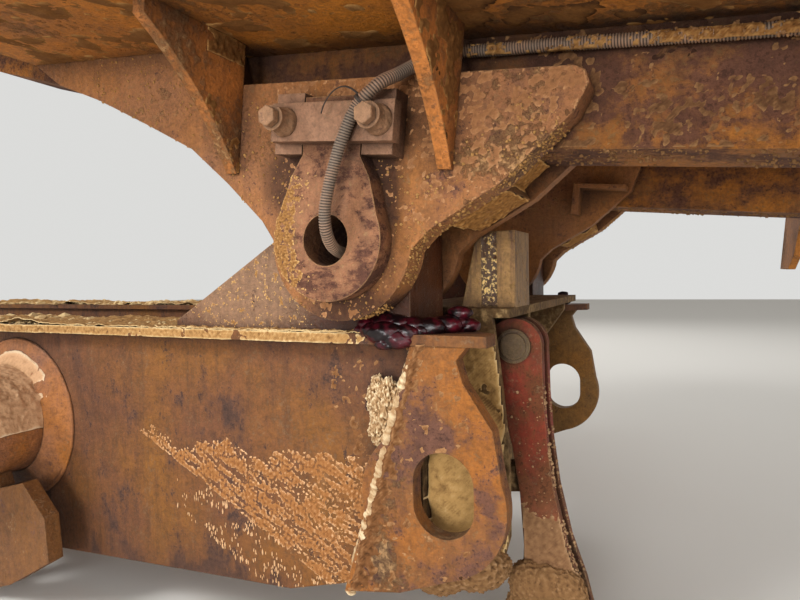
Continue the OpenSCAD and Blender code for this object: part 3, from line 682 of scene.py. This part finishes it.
# The wedge's outline and its pale earth are a painted patch of sunlight; the streaky relief inside is real
# sprayed mud.
def sprayed_mud_in_sun_patch(p):
    over = over_wedge(p)
    under = 0.012 - p.z + 0.025 * rough(p, 0.06)
    inside = max(0.0, min(1.0, over * 160, under * 60))
    slide, rise = p.x * 0.893 + p.z * 0.45, p.z * 0.893 - p.x * 0.45
    streak = rough(Vector((slide * 0.22, rise, p.y)), 0.009, 5)
    drip = lump(Vector((p.x, p.y, p.z * 0.5)), 0.0048)
    tall = 0.0013 * rough(p, 0.005, 5) + 0.0017 * streak + 0.0020 * drip * (0.5 + rough(p, 0.03)) - 0.0001
    return tall * inside - (1 - inside) * 0.002


def foot_mud(p):
    behind = -(p.x + 0.89 + 0.31 * (p.z - 0.016))
    hold = max(0.0, 1 - abs(behind - 0.012) / (0.018 + 0.30 * max(0.0, -p.z)))
    bumps = 0.0050 * rough(p, 0.016, 7) + 0.0016 * lump(p, 0.007)
    return 0.006 * hold * min(1.0, behind / 0.012) - 0.0030 + bumps


# Mud that only far views show is made on a coarser net.
for side, hand, step, web_step in (("left", 1, 0.0026, 0.0019), ("right", -1, 0.006, 0.006)):
    rail = steel_of("rail_" + side)
    crust(
        "rail_flange_mud_" + side, rail, Vector((-0.43, hand * 0.38, flange_height)), skyward,
        outboard, 1.13, 0.19, step, flange_mud, sunlit_yellow_earth, "rear_frame",
    )
    crust(
        "rail_flange_front_mud_" + side, rail, Vector((0.76, hand * 0.38, flange_height)), skyward,
        outboard, 1.25, 0.19, 0.006, flange_mud, sunlit_yellow_earth, "rear_frame",
    )
    crust(
        "rail_edge_mud_" + side, rail, Vector((-0.38, hand * 0.474, 0.197)), outboard * hand, skyward,
        1.0, 0.018, step * 0.8, flange_mud, sunlit_yellow_earth, "rear_frame",
    )
    crust(
        "rail_web_sunlit_mud_" + side, rail, Vector((-0.63, hand * 0.44, -0.14)), outboard * hand, skyward,
        0.62, 0.34, web_step, sprayed_mud_in_sun_patch, sun_patch_earth, "rear_frame",
    )
    crust(
        "end_plate_mud_" + side, steel_of("rail_" + side, "end_plate_" + side),
        Vector((-0.91, hand * 0.46, -0.02)), outboard * hand, skyward,
        0.24, 0.42, step, foot_mud, plate_earth, "rear_frame",
    )
    dice = random.Random(20 + hand)
    # Drips only inside the sunlit wedge, in its pale earth: painted light over real drips.
    drips = bmesh.new()
    crumbs(
        drips, rail, Vector((-0.66, hand * 0.44, -0.20)), outboard * hand, skyward, 0.44, 0.24,
        2600, 0.0008, 0.0018, lambda p: float(-0.085 < over_wedge(p) < 0.01 and rough(p, 0.03) > 0.1),
        dice, 3.2,
    )
    crumb_piece(drips, "rail_web_sunlit_drips_" + side, sun_patch_earth, "rear_frame")
    bm = bmesh.new()
    crumbs(
        bm, rail, Vector((-0.18, hand * 0.38, flange_height)), skyward, outboard, 0.9, 0.19,
        1400, 0.0010, 0.005, lambda p: 0.4 + rough(p, 0.1), dice, 0.7,
    )
    crumbs(
        bm, rail, Vector((0.65, hand * 0.38, flange_height)), skyward, outboard, 1.3, 0.19,
        900, 0.003, 0.015, lambda p: 0.5 + rough(p, 0.1), dice, 0.6,
    )
    crumb_piece(bm, "rail_crumbs_" + side, sunlit_yellow_earth, "rear_frame")

# Frame welds
# Multi-pass weld beads round the tube's collar and down the seam between the rail and its
# end plate. Mud has packed against the seam and hangs on it in one big lump; its pale colour is painted
# sunlight.
def clod(bm, centre, reach, grain, ripple, cuts=4):
    """Adds one big lump: a fine ball, scaled to its reach and roughened."""
    ball = bmesh.ops.create_icosphere(bm, subdivisions=cuts, radius=1)["verts"]
    for v in ball:
        cloud = rough(v.co + centre * 9, grain, 7) + abs(rough(v.co - centre * 7, grain * 0.6, 3))
        swell = 1 + ripple * cloud
        v.co = centre + Vector([c * r * swell for c, r in zip(v.co, reach)])


# Pale as the sunlit seam: painted light over real mud.
sunlit_seam_earth = dried_earth("seam_earth_painted_sunlit", "#5e4226", "#a2805a", "#ecd6ae", 0.006)
bm = bmesh.new()
for hand in (1, -1):
    seam = [
        Vector((x, hand * y, z))
        for x, y, z in (
            (-0.948, 0.461, 0.186), (-0.918, 0.463, 0.10), (-0.893, 0.463, 0.016),
            (-0.862, 0.461, -0.09), (-0.826, 0.452, -0.205),
        )
    ]
    route = rounded_route(seam, 0.0025)
    swept(bm, route, [0.0078 + 0.0034 * rough(p, 0.014) - 0.010 * min(0.2, p.z + 0.02) for p in route], 12)
for v in bm.verts:
    v.co += Vector((rough(v.co, 0.008), rough(v.co, 0.009), rough(v.co, 0.007))) * 0.0014
piece_from(bm, "seam_weld_mud", sunlit_seam_earth, "rear_frame")

collar_bead_radius = 0.167
bead_steps = 260
bm = bmesh.new()
for hand in (1, -1):
    ring = [
        Vector((collar_bead_radius * math.cos(turn), hand * 0.441, collar_bead_radius * math.sin(turn)))
        for turn in [math.tau * i / bead_steps for i in range(bead_steps + 1)]
    ]
    swept(bm, ring, [0.0045 + 0.0012 * rough(p, 0.012) for p in ring], 8)
piece_from(bm, "collar_weld_beads", tube_paint, "rear_frame")

bm = bmesh.new()
for hand in (1, -1):
    for x, z, size in (
        (-0.893, 0.088, 1.0), (-0.886, 0.066, 0.8), (-0.902, 0.112, 0.8), (-0.880, 0.105, 0.7),
        (-0.895, 0.050, 0.7), (-0.884, 0.125, 0.5), (-0.898, 0.030, 0.5),
    ):
        clod(bm, Vector((x, hand * 0.458, z)), (0.018 * size, 0.012 * size, 0.027 * size), 0.50, 0.40, 5)
piece_from(bm, "seam_mud_lumps", sunlit_seam_earth, "rear_frame")

# Tube mud
# Wet spoil drops on the tube from above and dries there as a thick cap. Its earth is paler than elsewhere:
# painted sunlight on the tube's top.
sunlit_tube_earth = dried_earth("sunlit_tube_dust", "#96704e", "#c69c76", "#f2dcb8")
for side, hand, cap_step, shoulder_step in (("left", 1, 0.0026, 0.0022), ("right", -1, 0.004, 0.004)):
    crust(
        "tube_cap_mud_" + side, steel_of("cross_tube", "tube_collar_" + side),
        Vector((0, hand * 0.55, 0)), skyward, outboard, 0.24, 0.20, cap_step,
        lambda p: 0.006 * max(-0.5, 1 - abs(p.x) / 0.10) + 0.003 * rough(p, 0.02, 7),
        sunlit_tube_earth, "rear_frame",
    )
    crust(
        "tube_shoulder_mud_" + side, steel_of("cross_tube"), Vector((-0.06, hand * 0.55, 0.06)),
        Vector((-0.75, 0.1 * hand, 0.66)), outboard, 0.17, 0.20, shoulder_step,
        lambda p: 0.0022 + 0.03 * min(0.1, p.z + 0.005) + 0.003 * rough(p, 0.02, 7),
        sunlit_tube_earth, "rear_frame",
    )

# Wall mud
# The box behind the left end plate is packed with pale mud, seen through the oval hole and
# beside the arm.
foot_earth = dried_earth("trodden_brown_earth", "#553b25", "#85623f", "#b08c66")
packed_earth = dried_earth("packed_pale_earth", "#785836", "#b79058", "#dcbc88", 0.003)


def packed_mud(p):
    if p.y > 0.33:
        return -1.0
    inside = 1 - min(1.0, math.hypot((p.x + 0.965) / 0.085, (p.z + 0.03) / 0.13)) ** 3
    return 0.0022 + 0.101 * inside + 0.004 * rough(p, 0.022, 7)


crust(
    "tail_wall_mud", steel_of("tail_box"), Vector((-0.98, 0.30, -0.03)), outboard, skyward,
    0.20, 0.44, 0.0028, packed_mud, packed_earth, "rear_frame",
)

bm = bmesh.new()
for x, y, z, size in (
    (-0.980, 0.330, -0.150, 1.0), (-0.985, 0.330, -0.185, 1.1), (-0.930, 0.345, -0.200, 1.0),
    (-1.005, 0.318, -0.185, 0.8),
):
    clod(bm, Vector((x, y, z)), (0.050 * size, 0.034 * size, 0.036 * size), 0.16, 0.10, 5)
piece_from(bm, "tail_wall_clods", foot_earth, "rear_frame")

# Pin grease
# Surplus grease is pressed out round the pin and drops on the rail in glossy dark red clots.
def wet_grease():
    """Old grease: nearly black, crimson where it is thin, and wet-looking."""
    material = blank_material("pressed_out_red_grease")
    tree = material.node_tree
    place = add(tree, "ShaderNodeTexCoord").outputs["Object"]
    swirl = add(tree, "ShaderNodeTexNoise", {0: place, "Scale": 1 / 0.02, "Detail": 5, "Roughness": 0.6})
    thin = add(tree, "ShaderNodeMapRange", {0: swirl.outputs[0], 1: 0.45, 2: 0.70}).outputs[0]
    feeds = {0: thin, 6: linear("#100406"), 7: linear("#560f1d")}
    tone = add(tree, "ShaderNodeMix", feeds, data_type="RGBA").outputs[2]
    bump = add(tree, "ShaderNodeBump", {"Strength": 0.4, "Distance": 0.001, "Height": swirl.outputs[0]})
    feeds = {"Base Color": tone, "Roughness": 0.30, "Specular IOR Level": 0.35, "Normal": bump.outputs[0]}
    shade = add(tree, "ShaderNodeBsdfPrincipled", feeds)
    add(tree, "ShaderNodeOutputMaterial", {"Surface": shade.outputs[0]})
    return material


bm = bmesh.new()
for hand in (1, -1):
    for x, y, z, size in (
        (-0.862, 0.458, 0.207, 0.8), (-0.884, 0.462, 0.207, 1.2), (-0.902, 0.466, 0.204, 1.5),
        (-0.918, 0.466, 0.196, 1.3), (-0.932, 0.462, 0.206, 1.0), (-0.948, 0.452, 0.208, 0.8),
        (-0.905, 0.474, 0.190, 0.8), (-0.990, 0.404, 0.216, 1.2), (-1.003, 0.400, 0.212, 1.1),
        (-0.998, 0.406, 0.232, 0.9), (-0.876, 0.452, 0.214, 1.3), (-0.896, 0.450, 0.216, 1.5),
        (-0.914, 0.448, 0.214, 1.4), (-0.936, 0.446, 0.212, 1.3), (-0.960, 0.440, 0.212, 1.2),
        (-0.980, 0.420, 0.214, 1.2),
    ):
        if hand < 0:
            size *= 0.7
        clod(bm, Vector((x, hand * y, z)), (0.021 * size, 0.013 * size, 0.011 * size), 1.6, 0.14)
piece_from(bm, "pin_grease_clots", wet_grease(), "rear_frame")

# Hinge ears
# Thick cast ears between the fork's plates. Grease from the pin runs down them and holds
# dirt, and they shine in streaks. Their very dark brown is partly that grease and partly painted shade.
greasy_shaded_casting = weathered_steel(
    "greasy_casting_with_painted_shade",
    # These very dark tones are partly grease and partly painted shade.
    paint="#5e3014",
    faded="#41200e",
    rust="#4f2610",
    deep_rust="#241008",
    film="#87654a",
    film_cut=0.75,
    film_full=0.95,
    mud="#8f7152",
    pale_mud="#c09c74",
    mud_cut=0.76,
    rust_cut=0.58,
    smear=0.22,
    gloss=0.42,
    patch=0.03,
    spots=(
        ("film", (-0.62, 0.45, 0.27), (0.30, 0.2, 0.22), 0.68),
        ("mud", (-0.62, 0.46, 0.27), (0.26, 0.06, 0.14), 0.14),
        ("grease", (-0.93, 0.385, 0.25), (0.03, 0.12, 0.09), 0.25),
    ),
)
coat_nodes(greasy_shaded_casting, "hinge_ear_left", "hinge_ear_right")
granule_earth = dried_earth("fine_ochre_granules", "#5e4022", "#94693b", "#cfa76e")


def slope_granules(p):
    return 0.0014 * lump(p, 0.0038) - 0.0011 + 0.0016 * rough(p, 0.010, 6) - 0.004 * float(p.x < -0.765)


for side, hand, step in (("left", 1, 0.0014), ("right", -1, 0.005)):
    crust(
        "ear_slope_granules_" + side, steel_of("hinge_ear_" + side), Vector((-0.64, hand * 0.43, 0.27)),
        Vector((0.35, 0.7 * hand, 0.6)), skyward, 0.34, 0.20, step,
        slope_granules, granule_earth, "rear_frame",
    )
    crust(
        "ear_foot_granules_" + side, steel_of("rail_" + side), Vector((-0.66, hand * 0.444, flange_height)),
        skyward, outboard, 0.44, 0.062, step,
        lambda p: 0.0016 * lump(p, 0.0042) + 0.0034 * rough(p, 0.016, 6) + 0.0015,
        sunlit_yellow_earth, "rear_frame",
    )

# Guide post
# A steel block that centres the fork. Its side has a grease recess between two wear strips,
# and the grease holds grit; its bright gold flecks are painted glints.
post_steel = weathered_steel(
    "rubbed_post_steel",
    paint="#a8814e",
    faded="#946e40",
    rust="#6d4a28",
    film="#a07c4c",
    mud="#8c6a40",
    pale_mud="#c09c66",
    mud_cut=0.58,
    rust_cut=0.60,
    gloss=0.5,
    runs=0.85,
)
coat_nodes(post_steel, "guide_post_left")


def grease_with_painted_glints():
    """Brown grease with grit, flecked with painted gold glints about 2 mm across."""
    material = blank_material("brown_grease_with_painted_glints")
    tree = material.node_tree
    place = add(tree, "ShaderNodeTexCoord").outputs["Object"]
    grit = add(tree, "ShaderNodeTexNoise", {0: place, "Scale": 1 / 0.006, "Detail": 4, "Roughness": 0.7})
    # Painted glints: pale gold where the noise is high.
    glint = add(tree, "ShaderNodeMapRange", {0: grit.outputs[0], 1: 0.54, 2: 0.60}).outputs[0]
    feeds = {0: glint, 6: linear("#4a2c12"), 7: linear("#e8c478")}
    tone = add(tree, "ShaderNodeMix", feeds, data_type="RGBA").outputs[2]
    bump = add(tree, "ShaderNodeBump", {"Strength": 1.0, "Distance": 0.003, "Height": grit.outputs[0]})
    feeds = {"Base Color": tone, "Roughness": 0.28, "Specular IOR Level": 0.6, "Normal": bump.outputs[0]}
    shade = add(tree, "ShaderNodeBsdfPrincipled", feeds)
    add(tree, "ShaderNodeOutputMaterial", {"Surface": shade.outputs[0]})
    return material


post_corners = [v.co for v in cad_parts["guide_post_left"].data.vertices]
post_low = Vector([min(c[i] for c in post_corners) for i in range(3)])
post_high = Vector([max(c[i] for c in post_corners) for i in range(3)])
post_middle = (post_low + post_high) / 2
crust(
    "post_recess_grease", steel_of("guide_post_left"), Vector((post_middle.x, post_high.y, post_middle.z)),
    outboard, skyward, post_high.x - post_low.x, post_high.z - post_low.z - 0.006, 0.0015,
    lambda p: -1.0 if p.y > post_high.y - 0.002 else 0.0008 + 0.0012 * rough(p, 0.012),
    grease_with_painted_glints(), "rear_frame",
)

# Lock arm
# Two flame-cut plies painted signal red, chipped to primer and dusted, on a turned pin.
arm_red = weathered_steel(
    "chipped_signal_red",
    paint="#962a1a",
    faded="#7c3420",
    rust="#74482c",
    deep_rust="#4e2e1c",
    film="#744c2e",
    film_cut=0.44,
    film_full=0.85,
    rust_cut=0.535,
    mud="#86603f",
    pale_mud="#b18d68",
    mud_cut=0.60,
    patch=0.035,
    smear=0.7,
    spots=(
        ("mud", (-1.10, 0.22, -0.25), (0.15, 0.1, 0.17), 0.22),
        ("film", (-1.09, 0.22, -0.15), (0.15, 0.1, 0.17), 0.3),
    ),
)
coat_nodes(arm_red, "lock_arm")
arm_steel = steel_of("lock_arm")
olive_earth = dried_earth("packed_olive_earth", "#664730", "#8c6848", "#b6926c")


def arm_mud(p):
    """Mud on the outer ply's face only, because the other side passes the body's lug."""
    bumps = 0.003 * rough(p, 0.03, 7) + 0.002 * lump(p, 0.009)
    return 0.005 * min(1.0, (-0.12 - p.z) / 0.05) + bumps - float(p.y < 0.245)


crust(
    "arm_foot_mud", arm_steel, Vector((-1.09, 0.24, -0.20)), Vector((-0.2, 1, 0)), skyward,
    0.22, 0.30, 0.0026, arm_mud, olive_earth, "lock_arm",
)
bm = bmesh.new()
for x, z, size in (
    (-1.092, -0.262, 1.0), (-1.066, -0.285, 0.8), (-1.060, -0.235, 0.6), (-1.122, -0.240, 0.6),
):
    clod(bm, Vector((x, 0.258, z)), (0.056 * size, 0.022, 0.062 * size), 0.16, 0.09, 5)
piece_from(bm, "arm_foot_clods", foot_earth, "lock_arm")
bm = bmesh.new()
crumbs(
    bm, arm_steel, Vector((-1.10, 0.23, -0.02)), Vector((-1, 0.05, 0)), skyward, 0.06, 0.40,
    2600, 0.0008, 0.0032, lambda p: 0.5 + rough(p, 0.05) - float(p.z > 0.10), random.Random(41),
)
crumb_piece(bm, "arm_edge_crumbs", olive_earth, "lock_arm")
turned_pin = weathered_steel(
    "dull_turned_pin",
    paint="#6c5838",
    faded="#584530",
    rust="#5f4630",
    film="#7c6646",
    mud="#75593c",
    pale_mud="#a1855f",
    gloss=0.42,
    mud_cut=0.66,
    patch=0.02,
    rubbing=1.0,
)
coat_nodes(turned_pin, "arm_pin")

# Body floor and beams
# The underframe of the body. Its underside is sprayed with wet spoil all day, which dries
# to a brown skin, and stones chip the paint to bright orange and plum-brown rust.
floor_skin = weathered_steel(
    "dusted_floor_plate",
    paint="#bd7626",
    faded="#a8682a",
    film="#a86c2e",
    mud="#6f4a28",
    pale_mud="#9a7344",
    rust_cut=0.66,
    mud_cut=0.55,
    mud_depth=0.004,
    patch=0.08,
)
coat_nodes(
    floor_skin,
    "body_floor", "main_floor", "body_side_left", "body_side_right",
    "front_cross_member", "tail_bolster", "tail_flap_left", "tail_flap_right", "lock_lug",
)

body_lean = math.radians(6)
pin_axis = Vector((-0.850, 0, 0.340))
body_axes = Matrix.Translation(pin_axis) @ Matrix.Rotation(-body_lean, 4, "Y")
body_up = body_axes.to_3x3() @ skyward


def in_body(x, y, z):
    """A point of the raised body, from millimetres along the body's own axes at the pins."""
    return body_axes @ (Vector((x, y, z)) / 1000)


brown_earth = dried_earth("sprayed_brown_earth", "#4a2f18", "#7d542b", "#b38852")
beam_earth = dried_earth("dark_beam_earth", "#38241a", "#65462d", "#96704a")
beam_skin = weathered_steel(
    "stone_chipped_beam_plate",
    paint="#a86820",
    faded="#7c4f2a",
    rust="#5c3c30",
    deep_rust="#3c241b",
    film="#6c4a2e",
    film_cut=0.44,
    mud="#6c4f2e",
    pale_mud="#967448",
    rust_cut=0.505,
    mud_cut=0.68,
    patch=0.06,
    smear=1.2,
    grit_depth=0.008,
)
coat_nodes(beam_skin, "body_beam_left", "body_beam_right")


def beam_mud(p):
    clouds = 0.0026 * rough(p, 0.05, 4) + 0.0026 * rough(p, 0.010, 4)
    return clouds + 0.0010 * lump(p, 0.008) - 0.0012


for side, hand, step in (("left", 1, 0.0024), ("right", -1, 0.006)):
    crust(
        "beam_side_mud_" + side, steel_of("body_beam_" + side), in_body(-580, hand * 452, 170),
        outboard * hand, body_up, 0.80, 0.24, step, beam_mud, beam_earth, "dump_body",
    )
crust(
    "harness_mud", steel_of("harness_hose"), in_body(-500, 465, 267), outboard, body_up,
    0.90, 0.05, 0.0020, lambda p: 0.0040 * rough(p, 0.05, 4) + 0.0026 * rough(p, 0.006, 4) - 0.0004,
    brown_earth, "dump_body",
)
bm = bmesh.new()
dice = random.Random(51)
crumbs(
    bm, steel_of("harness_hose"), in_body(-420, 465, 267), outboard, body_up, 0.60, 0.06,
    2400, 0.0007, 0.0028, lambda p: 0.35 + 1.3 * rough(p, 0.05), dice,
)
for side, hand in (("left", 1), ("right", -1)):
    beam = steel_of("body_beam_" + side)
    crumbs(
        bm, beam, in_body(-620, hand * 452, 86), outboard * hand, body_up, 0.80, 0.05,
        2600, 0.0008, 0.0030, lambda p: 0.6 + rough(p, 0.06), dice,
    )
    crumbs(
        bm, beam, in_body(-620, hand * 400, 60), skyward * -1, outboard, 0.80, 0.14,
        1500, 0.0010, 0.0036, lambda p: 0.5 + rough(p, 0.06), dice,
    )
crumb_piece(bm, "beam_crumbs", beam_earth, "dump_body")

# Hinge plates and gussets
# Flame-cut doublers outside and inside each beam, the plates that close their tail, and two
# upright gussets. Dust on them is fine and pinkish, and rust shows in plum patches.
hinge_skin = weathered_steel(
    "dusty_hinge_plate",
    paint="#a0662f",
    faded="#96603a",
    rust="#6a463a",
    deep_rust="#442c24",
    film="#966845",
    film_cut=0.36,
    mud="#835c38",
    pale_mud="#b3895c",
    rust_cut=0.592,
    mud_cut=0.60,
    patch=0.05,
    smear=1.0,
    grit_depth=0.008,
    spots=(
        ("rust", (-1.00, 0.50, 0.40), (0.10, 0.1, 0.07), 0.08),
        ("mud", (-1.12, 0.50, 0.43), (0.20, 0.1, 0.05), 0.12),
        ("rust", (-0.90, 0.50, 0.24), (0.13, 0.1, 0.08), 0.10),
        # The stain spots beside the flag's stem and round its foot are painted shadow.
        ("stain_and_painted_shade", (-0.77, 0.50, 0.43), (0.08, 0.1, 0.09), 0.85),
        ("stain_and_painted_shade", (-0.925, 0.50, 0.41), (0.045, 0.1, 0.11), 0.85),
        ("grease", (-0.94, 0.42, 0.24), (0.07, 0.12, 0.07), 0.40),
        ("stain_and_painted_shade", (-0.87, 0.48, 0.23), (0.14, 0.12, 0.075), 0.85),
    ),
)
coat_nodes(
    hinge_skin,
    "outer_hinge_plate_left", "outer_hinge_plate_right",
    "inner_hinge_plate_left", "inner_hinge_plate_right",
)
closing_skin = weathered_steel(
    "mud_roughened_closing_plate",
    paint="#c68440",
    faded="#b27640",
    film="#b27e44",
    rust="#6e4526",
    mud="#75502c",
    pale_mud="#ab7f4f",
    mud_cut=0.50,
    rust_cut=0.64,
)
coat_nodes(closing_skin, "closing_plate_left", "closing_plate_right")
gusset_skin = weathered_steel(
    "dusty_gusset_plate",
    paint="#c67a38",
    faded="#b26c34",
    film="#aa6e38",
    film_cut=0.38,
    rust_cut=0.66,
    mud="#6f4b2b",
    pale_mud="#a27a50",
    mud_cut=0.54,
)
coat_nodes(gusset_skin, "gussets_left", "gussets_right")


def plate_flakes(p):
    away = max(0.0, min(1.0, ((p - pin_axis).xz.length - 0.13) / 0.10))
    return 0.0013 * rough(p, 0.030, 3) + 0.0018 * rough(p, 0.009, 4) - 0.0006 * (1.5 - away)


tail_edge_earth = dried_earth("thick_ochre_earth", "#6a4624", "#a5743e", "#d0a468")
pink_earth = dried_earth("fine_dust_flakes", "#6c4a30", "#916441", "#b98a60")
for side, hand, step in (("left", 1, 0.0020), ("right", -1, 0.006)):
    plate = steel_of("outer_hinge_plate_" + side)
    crust(
        "hinge_plate_flakes_" + side, plate, Vector((-0.98, hand * 0.50, 0.40)), outboard * hand, skyward,
        0.46, 0.36, step, plate_flakes, pink_earth, "dump_body",
    )
    crust(
        "closing_plate_mud_" + side, steel_of("closing_plate_" + side), Vector((-1.05, hand * 0.44, 0.33)),
        Vector((-0.5, 0.25 * hand, -0.8)), outboard, 0.34, 0.20, step,
        lambda p: 0.0016 + 0.0045 * rough(p, 0.03, 7) + 0.003 * lump(p, 0.010),
        tail_edge_earth, "dump_body",
    )
    crust(
        "gusset_mud_" + side, steel_of("gussets_" + side), in_body(0, hand * 520, 260),
        Vector((-1, 0.2 * hand, 0)), skyward, 0.20, 0.44, step,
        lambda p: 0.0034 * rough(p, 0.04, 7) + 0.0016 * lump(p, 0.010) - 0.0006,
        brown_earth, "dump_body",
    )
    dice = random.Random(60 + hand)
    bm = bmesh.new()
    crumbs(
        bm, plate, Vector((-0.60, hand * 0.50, 0.45)), Vector((0.45, 0.5 * hand, -0.75)), outboard,
        0.75, 0.20, 3200, 0.0007, 0.0024, lambda p: 0.6 + rough(p, 0.05), dice,
    )
    crumbs(
        bm, plate, Vector((-1.05, hand * 0.50, 0.30)), Vector((-0.5, 0.3 * hand, -0.8)), outboard,
        0.40, 0.10, 2200, 0.0007, 0.0026, lambda p: 0.6 + rough(p, 0.05), dice,
    )
    crumb_piece(bm, "hinge_plate_crumbs_" + side, brown_earth, "dump_body")
crust(
    "floor_underside_mud", steel_of("body_floor", "main_floor"), Vector((-0.80, 0.55, 0.60)),
    skyward * -1, forward, 1.1, 2.0, 0.0065,
    lambda p: 0.0050 * rough(p, 0.06, 7) + 0.002 * lump(p, 0.014) - 0.0010,
    brown_earth, "dump_body",
)

# Hinge pins and keepers
# Forged pins with a keyhole flag, held by two blocks and a bolted keeper plate. The forging
# is brown and rubbed bright-edged, and the keeper plate wears an even coat of dust.
forged_pin = weathered_steel(
    "brown_forged_pin",
    paint="#936444",
    faded="#71462c",
    rust="#4e2f26",
    deep_rust="#301a13",
    film="#9a7052",
    film_cut=0.50,
    film_full=1.0,
    rust_cut=0.490,
    mud="#8c6238",
    pale_mud="#c79d6a",
    mud_cut=0.68,
    gloss=0.48,
    patch=0.032,
    smear=1.6,
    rubbing=1.0,
    grit_depth=0.008,
    spots=(("mud", (-0.79, 0.53, 0.34), (0.06, 0.1, 0.10), 0.2),),
)
coat_nodes(forged_pin, "hinge_pin_left", "hinge_pin_right")


def flag_granules(p):
    """Granules on the flag's front rim, none inside the hollow pin."""
    bumps = 0.0016 * lump(p, 0.0032) - 0.0012 + 0.0020 * rough(p, 0.009, 6)
    forward_of = 0.05 * min(0.04, max(-0.1, p.x + 0.815))
    return bumps + forward_of - 0.0012 * float((p - pin_axis).xz.length < 0.052)


for side, hand, step in (("left", 1, 0.0011), ("right", -1, 0.005)):
    crust(
        "flag_granules_" + side, steel_of("hinge_pin_" + side), Vector((-0.785, hand * 0.53, 0.335)),
        Vector((0.45, 0.85 * hand, 0)), skyward, 0.11, 0.20, step,
        flag_granules, granule_earth, "dump_body",
    )
keeper_dust = weathered_steel(
    "evenly_dusted_keeper_plate",
    paint="#926a50",
    faded="#8c6448",
    rust="#7e5a42",
    deep_rust="#5c3e2c",
    film="#987258",
    film_cut=0.3,
    rust_cut=0.66,
    mud="#85603f",
    pale_mud="#b08a68",
    mud_cut=0.66,
    mud_depth=0.0015,
    patch=0.03,
)
coat_nodes(
    keeper_dust,
    "keeper_plate_left", "keeper_plate_right", "keeper_blocks_left", "keeper_blocks_right",
)


def lathe(bm, axis_point, profile, sides, mirror=1):
    """Spins [distance out, radius] steps round the Y axis through a point."""
    verts = [bm.verts.new(axis_point + Vector((radius, out * mirror, 0))) for out, radius in profile]
    edges = [bm.edges.new(pair) for pair in zip(verts, verts[1:])]
    bmesh.ops.spin(
        bm, geom=verts + edges, cent=axis_point, axis=(0, 1, 0), angle=math.tau, steps=sides, use_merge=True
    )
    bmesh.ops.remove_doubles(bm, verts=bm.verts, dist=1e-6)


bolt_dust = weathered_steel(
    "dust_caked_bolt_steel",
    paint="#8f6a4c",
    faded="#7f5a3e",
    rust="#6f4a34",
    film="#a47e5e",
    film_cut=0.38,
    mud="#94704c",
    pale_mud="#bd9872",
    mud_cut=0.62,
    mud_depth=0.002,
    patch=0.012,
)
bolt_height = 157
hex_radius, hex_depth, hex_middle = 0.0140, 0.0125, 0.5955
for side, mirror in (("left", 1), ("right", -1)):
    bm = bmesh.new()
    for along in (-81, 65):
        seat = in_body(along, 0, bolt_height)
        shank = bmesh.new()
        lathe(
            shank,
            seat,
            [(0.508, 0), (0.508, 0.009), (0.5595, 0.009), (0.5600, 0.0205), (0.566, 0.0195),
             (0.572, 0.0170), (0.580, 0.0150), (0.5845, 0.0145), (0.5850, 0.0165), (0.5885, 0.0170),
             (0.5890, 0.0148), (0.5895, 0)],
            28,
            mirror,
        )
        for v in shank.verts:
            out = Vector((v.co.x - seat.x, 0, v.co.z - seat.z))
            if 0.5601 < abs(v.co.y) < 0.5842 and out.length > 0.01:
                v.co += out.normalized() * 0.0016 * noise.noise(v.co * 210)
        shank_mesh = bpy.data.meshes.new("shank")
        shank.to_mesh(shank_mesh)
        bm.from_mesh(shank_mesh)
        shank.free()
        bpy.data.meshes.remove(shank_mesh)
        head = bmesh.ops.create_cone(
            bm,
            cap_ends=True,
            segments=6,
            radius1=hex_radius,
            radius2=hex_radius,
            depth=hex_depth,
            matrix=Matrix.Translation(seat + Vector((0, mirror * hex_middle, 0)))
            @ Matrix.Rotation(math.pi / 2, 4, "X"),
        )["verts"]
        rims = list({e for v in head for e in v.link_edges})
        bmesh.ops.bevel(
            bm, geom=rims, offset=0.0011, affect="EDGES", segments=2, profile=0.5, material=-1
        )
    bolts = piece_from(bm, "keeper_bolt_set_" + side, bolt_dust, "dump_body", smooth=False)
    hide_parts("keeper_bolts_" + side)
